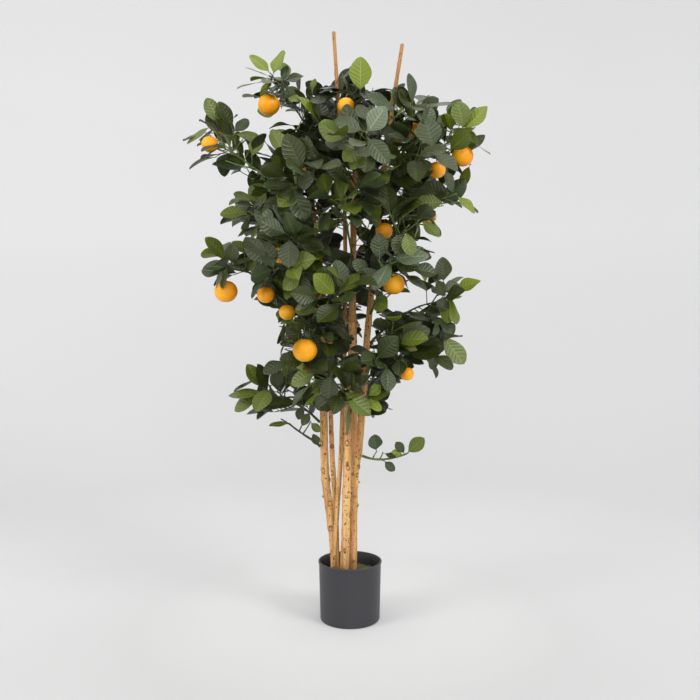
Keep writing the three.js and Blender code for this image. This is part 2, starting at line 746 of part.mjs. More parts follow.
// True where a leaf neither crosses the limbs and the leaves placed before it nor lies on those leaves.
function isApart(leaf, others, limbs) {
  if (limbs.some((limb) => pierces(limb, leaf))) {
    return false;
  }
  const lines = leafLines(leaf);
  return others.every((other) => {
    const middles = middleOf(leaf).distanceTo(middleOf(other));
    const crosses = lines.some((line) => pierces(line, other));
    return middles > LEAF_APART && !crosses && !leafLines(other).some((line) => pierces(line, leaf));
  });
}

// The first of a few tries that is free, or nothing.
function firstFree(place, test) {
  for (let attempt = 0; attempt < ATTEMPTS; attempt++) {
    const candidate = place(attempt);
    if (test(candidate)) {
      return candidate;
    }
  }
  return null;
}

// All the clusters come before the rest, which keeps clear of them.
const clusters = sprayNames.map((name, own) => {
  return (SHOWN_LEAVES[name] ?? []).map((cluster, index) => shownCluster(own, index, cluster));
});

// What the leaves in front of it keep clear of: the middle of each shown leaf and of each orange.
const shownMiddles = [
  ...clusters.flat().flatMap((cluster) => cluster.leaves.map(middleOf)),
  ...allFruit.map(([x, y, z]) => new THREE.Vector3(x, y, z)),
];

// True where a leaf would hide a shown one or an orange.
function hidesShown(leaf) {
  const middle = middleOf(leaf);
  const { x, z } = asSeen(middle);
  return shownMiddles.some((shown) => {
    const place = asSeen(shown);
    return middle.y < shown.y && Math.hypot(x - place.x, z - place.z) < SHOWN_CLEAR;
  });
}

// Twigs step round the stem by the golden angle. Each ends in a few leaves, and so does a stem without
// clusters. A young spray has its clusters alone.
function growSpray(own) {
  const { curve, reach } = stems[own];
  const count = Math.max(2, Math.round((reach * (1 - TWIG.from)) / TWIG.pitch));
  const twigs = clusters[own].map((cluster) => cluster.twig);
  const leaves = clusters[own].flatMap((cluster) => cluster.leaves);
  if (sprays[sprayNames[own]].young) {
    return { twigs, leaves };
  }
  const shown = clusters.flatMap((group, i) => (i === own ? [] : group));
  const shownLeaves = shown.flatMap((cluster) => cluster.leaves);
  const limbs = stems[own].points.slice(1).map((point, i) => [stems[own].points[i], point]);
  limbs.push(...clusters.flat().map(({ twig }) => [twig.start, twig.end]));

  // Adds a leaf whose root is so far back from the twig's end.
  function addLeaf(kind, index, leaf, end, back, heading, spreads) {
    const root = end.clone().addScaledVector(heading, -back);
    const free = firstFree(
      (attempt) => placeLeaf(kind, own, index, leaf, root, heading, spreads, attempt),
      (candidate) => {
        const apart = isApart(candidate, [...leaves, ...shownLeaves], limbs);
        return apart && !hidesShown(candidate) && leafIsFree(candidate, own);
      },
    );
    if (free) {
      leaves.push(free);
    }
  }

  for (let index = 0; index < count; index++) {
    const share = lerp(TWIG.from, TWIG.to, (index + 0.5) / count);
    const start = curve.getPoint(share);
    const direction = curve.getTangent(share);
    const twig = firstFree(
      (attempt) => placeTwig(own, index, start, direction, attempt),
      (twig) => {
        const crossed = [...leaves, ...shownLeaves].some((leaf) => pierces([start, twig.end], leaf));
        return twigIsFree(twig, own) && !crossed;
      },
    );
    if (!twig) {
      continue;
    }
    twigs.push(twig);
    limbs.push([start, twig.end]);
    addLeaf(LEAF, index, 0, twig.end, ROOT_SUNK, twig.heading, LAST_SPREAD);
    addLeaf(LEAF, index, 1, twig.end, ROOT_SUNK + ROOT_PITCH, twig.heading, PAIR_SPREAD);
    addLeaf(LEAF, index, 2, twig.end, BACK_LEAF_AT * twig.length, twig.heading, BACK_SPREAD);
  }
  if (clusters[own].length > 0) {
    return { twigs, leaves };
  }
  const end = curve.getPoint(1);
  const heading = curve.getTangent(1);
  addLeaf(LEAF, count, 0, end, ROOT_SUNK, heading, LAST_SPREAD);
  addLeaf(LEAF, count, 1, end, ROOT_SUNK + ROOT_PITCH, heading, PAIR_SPREAD);
  addLeaf(LEAF, count, 2, end, ROOT_SUNK + 2 * ROOT_PITCH, heading, PAIR_SPREAD);
  addLeaf(YOUNG_LEAF, count, 3, end, ROOT_SUNK + 3 * ROOT_PITCH, heading, YOUNG_SPREAD);
  return { twigs, leaves };
}

// A leaf is a thin hexagonal blade with a ridge under it, which runs from its tip to the root in its twig.
function leafGeometry(leaf) {
  const rim = leaf.kind.thickness / 2;
  const root = 0;
  const firstRim = 1;
  const vertices = [onLeaf(leaf, -LEAF_ROOT / leaf.length, 0, 0)];
  for (const [along, across] of [[LEAF_NECK, LEAF_NECK_RADIUS / leaf.halfWidth], ...LEAF_OUTLINE]) {
    vertices.push(onLeaf(leaf, along, -across, rim), onLeaf(leaf, along, across, rim));
  }
  vertices.push(onLeaf(leaf, 1, 0, -rim));
  const tip = vertices.length - 1;
  const faces = [[root, firstRim, firstRim + 1], [root, tip, firstRim], [root, firstRim + 1, tip]];
  for (let left = firstRim; left + 3 < tip; left += 2) {
    faces.push([left, left + 2, left + 1], [left + 1, left + 2, left + 3]);
    faces.push([left, tip, left + 2], [left + 1, left + 3, tip]);
  }
  faces.push([tip - 2, tip, tip - 1]);
  const geometry = new THREE.BufferGeometry().setFromPoints(vertices);
  geometry.setIndex(faces.flat());
  return geometry;
}

// An orange, a little flattened, and the stalk that it hangs by from the nearest point of the stem.
function fruitGeometries(fruit, stem) {
  const [x, y, z, radius] = fruit;
  const orange = new THREE.SphereGeometry(radius, ...FRUIT_SIDES);
  orange.rotateX(Math.PI / 2);
  orange.scale(1, 1, FRUIT_SQUASH);
  orange.translate(x, y, z);
  const crown = new THREE.Vector3(x, y, z + STALK_SUNK * radius);
  const { nearest } = nearestOnStem(stem.points, new THREE.Vector3(x, y, z + STALK_FROM * radius));
  return [orange, sunkRod(nearest, crown, [STALK_RADIUS, STALK_RADIUS], true)];
}

function toSolid(geometry) {
  const bare = geometry.clone();
  bare.deleteAttribute('normal');
  bare.deleteAttribute('uv');
  const merged = mergeVertices(bare, 1e-4);
  const corners = [...merged.index.array];
  const triVerts = [];
  for (let i = 0; i < corners.length; i += 3) {
    const face = corners.slice(i, i + 3);
    if (new Set(face).size === 3) {
      triVerts.push(...face);
    }
  }
  const mesh = new wasm.Mesh({
    numProp: 3,
    vertProperties: new Float32Array(merged.attributes.position.array),
    triVerts: new Uint32Array(triVerts),
  });
  return new wasm.Manifold(mesh);
}

function toGeometry(solid) {
  const mesh = solid.getMesh();
  const geometry = new THREE.BufferGeometry();
  geometry.setAttribute('position', new THREE.BufferAttribute(new Float32Array(mesh.vertProperties), 3));
  geometry.setIndex(new THREE.BufferAttribute(new Uint32Array(mesh.triVerts), 1));
  geometry.computeVertexNormals();
  return geometry;
}

// The pieces of one spray become one solid. A scrap that stays loose is dropped, and a sealed hollow filled.
function fuse(geometries) {
  const joined = wasm.Manifold.union(geometries.map(toSolid));
  const bodies = joined.decompose();
  bodies.sort((a, b) => b.volume() - a.volume());
  return toGeometry(bodies[0]);
}

function sprayGeometry(own) {
  const stem = stems[own];
  const { twigs, leaves } = growSpray(own);
  const last = stem.points.length - 1;
  const radii = stem.points.map((point, ring) => lerp(...STEM.radii, ring / last));
  const pieces = [taperedTube(stem.points, stem.directions, radii, STEM.sides)];
  pieces.push(...twigs.map((twig) => sunkRod(twig.start, twig.end, TWIG.radii, false)));
  pieces.push(...leaves.map(leafGeometry));
  for (const fruit of sprays[sprayNames[own]].fruit) {
    pieces.push(...fruitGeometries(fruit, stem));
  }
  return fuse(pieces);
}

// A thin-walled pot with a rolled lip, turned from one closed outline.
function potGeometry() {
  const insideTop = POT.topRadius - POT.wall;
  const insideFloor = POT.footRadius - POT.wall;
  const lipFoot = POT.height - POT.lipHeight;
  const outline = [
    [0, 0],
    [POT.footRadius - POT.edge, 0],
    [POT.footRadius - 0.3 * POT.edge, 0.3 * POT.edge],
    [POT.footRadius, POT.edge],
    [POT.topRadius, lipFoot - 1],
    [POT.lipRadius, lipFoot],
    [POT.lipRadius, POT.height],
    [insideTop, POT.height],
    [insideFloor, POT.floor],
    [0, POT.floor],
  ];
  const points = outline.map(([radius, height]) => new THREE.Vector2(radius, height));
  return new THREE.LatheGeometry(points, POT.sides).rotateX(Math.PI / 2);
}

// The filling stands clear of the pot's wall and floor by the gap.
function fillGeometry() {
  const bottom = POT.floor + GAP;
  const slope = (POT.topRadius - POT.footRadius) / (POT.height - POT.floor);
  const facetInset = POT.footRadius * (1 - Math.cos(Math.PI / POT.sides));
  const radius = POT.footRadius - POT.wall - GAP - facetInset;
  const rise = FILL_TOP - bottom;
  const fill = new THREE.CylinderGeometry(radius + slope * rise, radius, rise, POT.sides);
  return fill.rotateX(Math.PI / 2).translate(0, 0, bottom + rise / 2);
}

function plainMaterial(color, roughness) {
  return new THREE.MeshStandardMaterial({ color, roughness, metalness: 0 });
}

const plant = new THREE.Group();

function addPiece(name, geometry, color, roughness) {
  const piece = new THREE.Mesh(geometry, plainMaterial(color, roughness));
  piece.name = name;
  plant.add(piece);
}

addPiece('pot', potGeometry(), 0x3f4144, 0.5);
addPiece('fill', fillGeometry(), 0x6e6a50, 0.95);
for (const name of Object.keys(STICKS)) {
  addPiece(`stick_${name}`, stickGeometry(name), 0xc9a066, 0.7);
}
sprayNames.forEach((name, own) => {
  addPiece(`spray_${name}`, sprayGeometry(own), 0x3f5a35, 0.55);
});

export default plant;
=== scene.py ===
import itertools
import math

import bpy
import numpy as np
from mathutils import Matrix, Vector


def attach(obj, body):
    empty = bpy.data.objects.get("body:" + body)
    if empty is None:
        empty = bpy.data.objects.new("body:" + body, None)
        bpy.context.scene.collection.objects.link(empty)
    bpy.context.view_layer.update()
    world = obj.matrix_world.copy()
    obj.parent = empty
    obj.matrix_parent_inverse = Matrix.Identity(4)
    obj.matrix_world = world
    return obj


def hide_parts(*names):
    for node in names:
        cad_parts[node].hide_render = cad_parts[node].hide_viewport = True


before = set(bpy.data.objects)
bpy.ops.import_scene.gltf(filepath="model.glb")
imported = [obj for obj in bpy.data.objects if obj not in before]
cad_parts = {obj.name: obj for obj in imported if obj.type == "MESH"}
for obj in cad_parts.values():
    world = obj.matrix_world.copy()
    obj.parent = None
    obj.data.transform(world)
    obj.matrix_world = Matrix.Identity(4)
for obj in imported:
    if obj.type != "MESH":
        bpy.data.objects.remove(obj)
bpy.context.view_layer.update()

# An artificial orange tree, 1.2 m high, in a small filled pot. Growth is worked out in millimetres, by
# the same rule and seeds as the solids, and each mesh is made in metres. In a call of hashed or drawer,
# the last number only keeps its draws apart from the others.
MM = 0.001
TAU = 2 * math.pi

POT = {
    "height": 118,
    "lip_radius": 64.5,
    "lip_height": 3.5,
    "top_radius": 63.2,
    "foot_radius": 60.4,
    "edge": 3,
    "wall": 2,
    "floor": 3,
}
FILL_TOP = 93
GAP = 0.3

STICK_FOOT = FILL_TOP + GAP
STICK_STEPS = 9
WOBBLE = 1.8
WOBBLE_ANGLE = 14
KNOT_SWELL = 1.3
KNOT_HALF_LENGTH = 11
NO_ELBOW = (0, 1, 0)
# Each stick: its middle at the fill and at its top, its radii at both ends, how much its lean bends, how
# far it bows, the heights of its knots, and its elbow: a height, a half length and a step aside.
STICKS = {
    "left_thick": {
        "foot": (-28.6, -5), "top": (-80, -25, 880), "radii": (8.8, 6.4),
        "bend": 2.1, "bow": 0, "knots": (187, 284), "elbow": (195, 62, -19.6),
    },
    "left_thin": {
        "foot": (-27, 22), "top": (-64, 40, 760), "radii": (5.6, 4.4),
        "bend": 1.4, "bow": 0, "knots": (), "elbow": NO_ELBOW,
    },
    "tall_left": {
        "foot": (-35.5, -26), "top": (-33.3, 9, 1199), "radii": (5, 3.5),
        "bend": 1, "bow": 25, "knots": (), "elbow": NO_ELBOW,
    },
    "centre": {
        "foot": (-12, -33), "top": (13, -33, 930), "radii": (8.75, 5),
        "bend": 1, "bow": 0, "knots": (262, 596), "elbow": NO_ELBOW,
    },
    "rear": {
        "foot": (1, 20), "top": (2, 40, 900), "radii": (7, 4.6),
        "bend": 1, "bow": 8, "knots": (330,), "elbow": NO_ELBOW,
    },
    "tall_right": {
        "foot": (5, -10), "top": (107.5, 10, 1174), "radii": (9, 3.7),
        "bend": 2, "bow": 0, "knots": (232, 309), "elbow": (335, 22, 13.5),
    },
}

# A stem's middle line has points this far apart, and ends short of its outer leaves.
STEM = {"step": 60, "short": 30}
# Angles are in degrees. A twig or leaf with no room is turned by the retry angles and tried again.
TWIG = {
    "pitch": 57,
    "from": 0.2,
    "to": 0.94,
    "length": (42, 66),
    "spread": (40, 68),
    "lift": 0.22,
    "retry": (25, 70),
}
# Leaves by kind, with a length in millimetres and a width as a share of it.
LEAF = {"length": (68, 80), "width": 0.54}
YOUNG_LEAF = {"length": (44, 54), "width": 0.5}
SMALL_LEAF = {"length": (50, 66), "width": 0.56}
LAST_SPREAD = (14, 32)
PAIR_SPREAD = (52, 74)
BACK_SPREAD = (48, 68)
YOUNG_SPREAD = (20, 44)
LEAF_DROOP = (0, 0.25)
LEAF_RETRY = (20, 60)
FACE_ALONG_TWIG = 0.8
FACE_UP = 0.45
FACE_SWAY = {"x": (-0.35, 0.35), "y": (-0.5, 0.2), "z": (-0.2, 0.35)}
BACK_LEAF_AT = 0.45
LEAF_OUTLINE = ((0.38, 0.88), (0.7, 0.9))
LEAF_NECK = 0.08
ROOT_SUNK = 2.6
ROOT_PITCH = 4.6
LEAF_APART = 18
FRUIT_SQUASH = 0.96
STALK_FROM = 1.6
GOLDEN_ANGLE = 137.5
ATTEMPTS = 9
STICK_CLEARANCE = 4
FRUIT_CLEARANCE = 3
SPACE_CLEARANCE = 1.2

# Each spray: its stick, the height where its stem starts, where its outer leaves reach, its arch, its
# oranges (each a centre and a radius).
NAMED_SPRAYS = {
    "crest_left": ("tall_left", 905, (-156, -20, 1108), -0.08, [(-163, -25, 1039, 22)]),
    "upper_left": ("left_thick", 815, (-296, 0, 985), 0.1, [(-283, -16, 962, 17)]),
    "upper_left_low": ("left_thin", 680, (-216, 62, 902), 0.12, []),
    "mid_left": ("left_thick", 690, (-212, 15, 850), 0.1, []),
    "low_left": (
        "left_thick", 585, (-262, -30, 748), 0.06,
        [(-247, -35, 664, 23), (-165, -60, 656, 17), (-124, -50, 622, 16)],
    ),
    "low_left_inner": ("left_thin", 520, (-160, 70, 680), 0.15, []),
    "base_left": ("left_thick", 400, (-208, -22, 468), 0.25, []),
    "sprig_left": ("left_thick", 352, (-160, -50, 428), 0.02, []),
    "sprig_right": ("tall_right", 332, (148, -22, 342), -0.22, []),
    "base_right": ("tall_right", 465, (190, 0, 585), 0.2, [(113, -40, 500, 14)]),
    "mid_right": ("tall_right", 560, (214, -40, 660), 0.22, []),
    "inner_right": ("tall_right", 620, (88, -135, 706), 0.1, [(84, -90, 675, 21)]),
    "upper_right": ("tall_right", 745, (198, 20, 876), 0.15, [(68, -40, 784, 17)]),
    "top_right": ("tall_right", 860, (250, 0, 1000), 0.14, [(229, -4, 941, 22)]),
    "crest_right": ("tall_right", 960, (160, -12, 1052), 0.05, []),
    "crest": ("tall_left", 985, (18, -20, 1090), 0.1, [(-8, -40, 1032, 17)]),
    "crest_rear": ("tall_left", 960, (-66, 82, 1065), 0.1, []),
    "front_top": ("centre", 850, (36, -185, 955), 0.12, []),
    "front_top_left": ("left_thick", 790, (-96, -185, 905), 0.1, []),
    "front_top_right": ("tall_right", 815, (140, -150, 930), 0.1, [(170, -62, 900, 17)]),
    "front_high": ("centre", 730, (-20, -195, 838), 0.1, []),
    "front_left": ("left_thick", 650, (-130, -165, 765), 0.12, [(-132, -112, 728, 16)]),
    "front_right": ("tall_right", 690, (122, -150, 800), 0.12, []),
    "front_left_low": ("centre", 560, (-48, -165, 672), 0.15, []),
    "front_low_left": ("left_thick", 480, (-88, -145, 585), 0.18, [(-84, -130, 549, 23)]),
    "front_low": ("centre", 440, (-40, -140, 500), 0.2, []),
    "front_low_right": ("centre", 420, (28, -104, 470), 0.3, []),
    "front_right_low": ("tall_right", 500, (100, -118, 580), 0.15, []),
}
# Small oranges deep in the crown, made here alone.
DEEP_FRUIT = {
    "upper_left_low": [(-90, 0, 918, 15)],
    "front_top_right": [(127, -20, 990, 15)],
}
YOUNG_SPRAYS = ("sprig_left", "sprig_right")
FRONT_SPRAYS = (
    "front_top", "front_top_left", "front_top_right", "front_high", "front_left", "front_right",
    "front_left_low", "crest", "crest_right", "inner_right",
)
FRESH_SPRAYS = (
    "crest_left", "crest", "top_right", "mid_right", "front_low_right", "front_high", "back_6",
)
BACK = {
    "count": 12,
    "heights": (395, 1010),
    "azimuths": (22, 158),
    "turn": 0.382,
    "rise": 90,
    "arch": 0.14,
    "sticks": ("tall_right", "rear", "left_thin", "left_thick", "tall_left"),
    "fruit_every": 3,
    "fruit_radius": 18,
    "fruit_at": 0.86,
    "fruit_hang": 43,
}
# How far the sprays at the back reach from the middle, by height.
CROWN = {
    "low_height": 400,
    "low_reach": 165,
    "high_height": 940,
    "high_reach": 235,
    "top_height": 1110,
    "top_reach": 140,
}

# The front is seen from this far off and this high. A place as seen is its x and z where the line of
# sight meets the upright plane through the pot's middle.
FRONT = {"distance": 1510, "height": 583}
# Where the crown is open to the sky or to its sticks, as seen: ellipses, each by its middle, its half
# width and its half height.
OPENINGS = (
    (-255, 1089, 53, 27), (-122, 1022, 29, 12), (-212, 1046, 24, 18), (-253, 885, 45, 18),
    (-294, 909, 16, 20), (-263, 795, 35, 14), (-216, 669, 14, 31), (-200, 587, 53, 53),
    (-163, 354, 69, 29), (-206, 395, 33, 16), (167, 1089, 27, 20), (61, 1105, 23, 28),
    (-57, 1126, 41, 29), (261, 1075, 29, 24), (296, 995, 16, 33), (273, 909, 18, 29),
    (214, 812, 29, 31), (167, 765, 31, 14), (237, 746, 37, 35), (118, 642, 47, 14),
    (247, 624, 22, 45), (220, 473, 41, 35), (159, 477, 27, 27), (108, 436, 22, 37),
    (90, 397, 45, 16), (102, 269, 53, 22), (-190, 528, 50, 16), (-224, 495, 20, 20),
    (-10, 342, 71, 84),
)
# Where the sticks show through the leaves: the same, but open only as far back as the sticks.
STICK_OPENINGS = ((33, 612, 12, 55), (4, 612, 14, 31), (-4, 779, 18, 27))
STICKS_BACK = 50
# Shown leaves give the crown its outline and stand out at its front. They face the front, swayed and
# rolled a little, and other leaves keep clear of them. Their twigs start back along the stem.
SHOWN_LEAF = {"width": 0.58}
SHOWN_SWAY = (-0.35, 0.15)
SHOWN_ROLL = 0.15
SHOWN_BACK = 0.2
SHOWN_CLEAR = 26
SHOWN_INDEX = 50
# They come by spray and in clusters. A cluster has the place where its twig ends, as seen but with its
# own depth. Then each leaf has its direction as seen, in degrees from the right, its length, its width as
# seen, and its shade.
SHOWN_LEAVES = {
    "crest_left": [
        ((-163, -25, 1112), [(138, 50, 25, "fresh"), (65, 54, 27, "fresh"), (175, 48, 10, "middle")]),
        ((-167, -20, 1099), [(-167, 64, 12, "middle")]),
        ((-141, -15, 1097), [(12, 46, 22, "dark"), (66, 30, 18, "deep"), (-42, 51, 24, "dark")]),
        ((-135, -50, 1067), [(170, 47, 12, "deep"), (-20, 36, 18, "middle")]),
        ((-76, -20, 1071), [(86, 30, 12, "middle")]),
    ],
    "upper_left": [
        ((-267, 0, 1003), [(109, 57, 29, "middle")]),
        ((-286, -4, 1005), [(-143, 59, 22, "middle")]),
        ((-239, 12, 997), [
            (114, 58, 27, "dark"), (30, 37, 25, "deep"), (-17, 56, 23, "middle"),
            (-70, 56, 16, "dark"),
        ]),
        ((-261, -48, 969), [(-159, 43, 14, "deep"), (-144, 45, 10, "deep")]),
    ],
    "upper_left_low": [
        ((-212, 30, 920), [(178, 65, 27, "deep")]),
        ((-180, 16, 912), [(130, 52, 27, "deep"), (140, 37, 19, "fresh")]),
    ],
    "mid_left": [
        ((-190, 15, 852), [(165, 47, 19, "middle")]),
        ((-206, 15, 830), [(-174, 58, 28, "middle"), (-106, 41, 9, "dark")]),
        ((-194, 15, 799), [(-153, 41, 12, "dark"), (-105, 27, 12, "fresh")]),
    ],
    "low_left": [
        ((-249, -32, 724), [(126, 62, 24, "middle"), (75, 38, 30, "dark")]),
        ((-190, -20, 740), [(153, 54, 18, "middle"), (-166, 62, 16, "middle"), (-132, 36, 24, "middle")]),
        ((-259, -66, 718), [(-107, 45, 12, "deep"), (-90, 43, 16, "middle")]),
        ((-167, -88, 703), [(-124, 56, 11, "deep")]),
    ],
    "front_left": [
        ((-124, -158, 783), [(159, 57, 33, "deep"), (-92, 60, 37, "deep")]),
        ((-157, -138, 707), [(104, 54, 32, "deep")]),
    ],
    "front_top_left": [
        ((-122, -165, 881), [
            (-65, 69, 35, "deep"), (180, 47, 25, "deep"), (-155, 38, 27, "deep"),
            (17, 45, 33, "deep"),
        ]),
    ],
    "front_top": [
        ((33, -175, 993), [(162, 58, 31, "deep"), (50, 54, 38, "pale"), (-55, 70, 36, "deep")]),
    ],
    "front_top_right": [
        ((173, -125, 956), [(107, 60, 47, "deep"), (-41, 58, 28, "deep")]),
    ],
    "top_right": [
        ((235, -15, 995), [
            (105, 55, 40, "middle"), (47, 63, 30, "fresh"), (-44, 69, 16, "middle"),
            (180, 53, 12, "middle"),
        ]),
        ((247, 28, 924), [(-115, 48, 19, "fresh")]),
    ],
    "upper_right": [
        ((218, 10, 865), [(-48, 53, 23, "fresh"), (166, 74, 37, "dark")]),
        ((198, -10, 846), [(178, 61, 34, "middle")]),
        ((145, -15, 816), [(-46, 53, 26, "middle"), (-148, 63, 24, "dark")]),
    ],
    "crest_right": [
        ((127, -15, 1046), [(92, 59, 23, "deep"), (7, 79, 24, "deep"), (130, 38, 26, "dark")]),
        ((110, -15, 1032), [(112, 51, 26, "dark")]),
        ((98, -60, 1034), [(157, 65, 33, "deep")]),
    ],
    "crest": [
        ((22, -45, 1071), [(90, 65, 42, "fresh")]),
        ((-8, -30, 1077), [(175, 58, 12, "dark"), (98, 34, 8, "middle")]),
    ],
    "inner_right": [
        ((82, -136, 734), [(6, 69, 34, "pale"), (-117, 65, 30, "pale"), (-21, 58, 22, "dark")]),
        ((59, -140, 730), [(90, 48, 33, "deep")]),
        ((45, -128, 697), [(140, 45, 24, "dark")]),
    ],
    "mid_right": [
        ((192, -35, 685), [(92, 48, 32, "dark")]),
        ((212, -48, 665), [
            (29, 55, 22, "fresh"), (-105, 63, 28, "fresh"), (-84, 63, 20, "middle"),
            (-127, 47, 24, "deep"), (150, 40, 24, "dark"),
        ]),
    ],
    "base_right": [
        ((188, -8, 581), [(-56, 75, 39, "middle")]),
        ((106, -20, 540), [(5, 77, 28, "dark"), (-28, 48, 14, "dark")]),
        ((102, -66, 532), [(-93, 35, 27, "dark")]),
    ],
    "front_left_low": [
        ((-27, -150, 658), [(139, 55, 35, "fresh"), (43, 57, 20, "middle")]),
    ],
    "front_low_left": [
        ((-65, -100, 501), [(-160, 57, 27, "middle")]),
    ],
    "front_low_right": [
        ((37, -98, 450), [(43, 32, 19, "fresh"), (-45, 34, 19, "fresh"), (15, 42, 17, "middle")]),
        ((-2, -70, 440), [(-93, 64, 7, "middle")]),
    ],
    "front_low": [
        ((-16, -120, 463), [(-40, 71, 32, "middle")]),
        ((-39, -120, 503), [(-96, 54, 34, "deep")]),
    ],
    "base_left": [
        ((-178, -28, 467), [
            (122, 58, 24, "middle"), (-144, 72, 24, "middle"), (-171, 68, 14, "middle"),
            (100, 50, 18, "dark"),
        ]),
        ((-149, -15, 463), [(92, 42, 26, "dark")]),
        ((-120, -30, 528), [(-158, 60, 22, "deep")]),
        ((-94, -15, 503), [(-152, 38, 22, "dark")]),
        ((-98, -35, 436), [(178, 74, 18, "dark"), (-105, 32, 18, "dark"), (24, 40, 14, "fresh")]),
    ],
    "sprig_left": [
        ((-124, -48, 397), [(-175, 40, 8, "middle")]),
        ((-80, -52, 422), [(-122, 33, 18, "dark")]),
        ((-80, -50, 401), [(-50, 28, 16, "middle")]),
        ((-63, -42, 348), [(113, 28, 16, "dark")]),
    ],
    "sprig_right": [
        ((55, -28, 340), [(100, 34, 28, "deep")]),
        ((118, -25, 336), [(46, 44, 26, "middle"), (135, 32, 18, "deep"), (175, 32, 12, "fresh")]),
        ((67, -30, 338), [(-15, 28, 8, "dark")]),
        ((71, -30, 320), [(-48, 28, 18, "deep")]),
    ],
}

# The finer growth, made here alone: small twigs along the stems and on the twigs. It may stray into a
# neighbour's space by the slack.
FINE = {"pitch": 11, "from": 0.05, "to": 0.97, "length": (24, 44), "spread": (42, 80), "slack": 20}
FRONT_FINE = {**FINE, "pitch": 10, "length": (24, 62)}
SIDE = {"at": (0.35, 0.68), "length": (18, 30), "spread": (45, 70)}
FINE_APART = 12
NEIGHBOURHOOD = 150
# The first of the finer twigs' index numbers, and the middle and the reach of the crown's dark inside,
# where the finer leaves take a darker green as painted shade.
FINE_INDEX = 100
INNER_PAINTED_SHADE = {"x": 0, "reach": 105}
# How far, as seen, the middles of the finer leaves in front of an orange stay outside its rim.
FRUIT_IN_VIEW = 20

# Shares of a twig's length, and of a leaf's length and half width, where their room is tested.
TWIG_PROBES = (0.35, 0.7, 1.05)
LEAF_PROBES = ((0.2, 0.6), (0.4, 0.95), (0.6, 0.95), (0.8, 0.55), (1, 0))
# The leaves at a stem's tip: each one's kind, how far back it is rooted, and its spread.
TIP_KINDS = ((LEAF, LAST_SPREAD), (LEAF, PAIR_SPREAD), (LEAF, PAIR_SPREAD), (YOUNG_LEAF, YOUNG_SPREAD))
TIP_LEAVES = [
    (kind, ROOT_SUNK + number * ROOT_PITCH, spreads) for number, (kind, spreads) in enumerate(TIP_KINDS)
]

UP = np.array((0.0, 0.0, 1.0))


def lerp(low, high, share):
    return low + (high - low) * share


def unit(vector):
    return vector / np.linalg.norm(vector)


def hashed(*keys):
    """A repeatable number from 0 to 1 for each list of whole numbers."""
    mask = 0xFFFFFFFF
    word = 0x9E3779B9
    for key in keys:
        word = ((word ^ key) * 0x85EBCA6B) & mask
        word ^= word >> 13
        word = (word * 0xC2B2AE35) & mask
        word ^= word >> 16
    return word / 4294967296


def drawer(*keys):
    """A drawer of repeatable numbers for one twig or leaf."""
    drawn = itertools.count()
    return lambda low, high: lerp(low, high, hashed(*keys, next(drawn)))


# The sticks, as the solids have them.


def ring_heights(stick):
    heights = []
    for step in range(STICK_STEPS + 1):
        height = lerp(STICK_FOOT, stick["top"][2], step / STICK_STEPS)
        if all(abs(height - knot) > 2 * KNOT_HALF_LENGTH for knot in stick["knots"]):
            heights.append(height)
    for knot in stick["knots"]:
        heights += [knot - KNOT_HALF_LENGTH, knot, knot + KNOT_HALF_LENGTH]
    return sorted(heights)


def stick_rings(stick):
    """Rows of height, x, y and radius."""
    rows = []
    for height in ring_heights(stick):
        share = (height - STICK_FOOT) / (stick["top"][2] - STICK_FOOT)
        along = share ** stick["bend"]
        swing = math.sin(math.pi * share)
        wave = WOBBLE * swing * math.sin(stick["top"][2] + WOBBLE_ANGLE * share)
        elbow, half_length, aside = stick["elbow"]
        step = aside * (0.5 + 0.5 * math.tanh((height - elbow) / half_length))
        x = lerp(stick["foot"][0], stick["top"][0] - aside, along) + step + stick["bow"] * swing + wave
        y = lerp(stick["foot"][1], stick["top"][1], along) + wave / 2
        swell = KNOT_SWELL if height in stick["knots"] else 0
        rows.append((height, x, y, lerp(*stick["radii"], share) + swell))
    return np.array(rows)


RINGS = {name: stick_rings(stick) for name, stick in STICKS.items()}


def stick_at(name, heights):
    """The stick's x, y and radius at some heights."""
    rows = RINGS[name]
    return [np.interp(heights, rows[:, 0], rows[:, column]) for column in (1, 2, 3)]


def frame_of(direction):
    """Two directions square to a given one, the first of them level."""
    side = np.cross(direction, UP)
    if np.linalg.norm(side) < 0.05:
        side = np.array((1.0, 0.0, 0.0))
    side = unit(side)
    return side, unit(np.cross(side, direction))


def square_to(along, face):
    """A direction tipped until it is square to another."""
    return unit(face - along * face.dot(along))


def leaned(direction, spread, turned):
    """A direction leaned out by the spread, to the side that the turn picks. Both are in degrees."""
    side, rise = frame_of(direction)
    spread = math.radians(spread)
    turn = math.radians(turned)
    aside = side * math.cos(turn) + rise * math.sin(turn)
    return direction * math.cos(spread) + math.sin(spread) * aside


def arc(start, middle, end, share):
    """A place on the curve that starts towards a middle point and comes from there to its end."""
    rest = 1 - share
    return rest * rest * start + 2 * rest * share * middle + share * share * end


def crown_reach(height):
    share = (height - CROWN["low_height"]) / (CROWN["high_height"] - CROWN["low_height"])
    if share <= 1:
        return lerp(CROWN["low_reach"], CROWN["high_reach"], max(0, share))
    over = (height - CROWN["high_height"]) / (CROWN["top_height"] - CROWN["high_height"])
    return lerp(CROWN["high_reach"], CROWN["top_reach"], min(1, over))


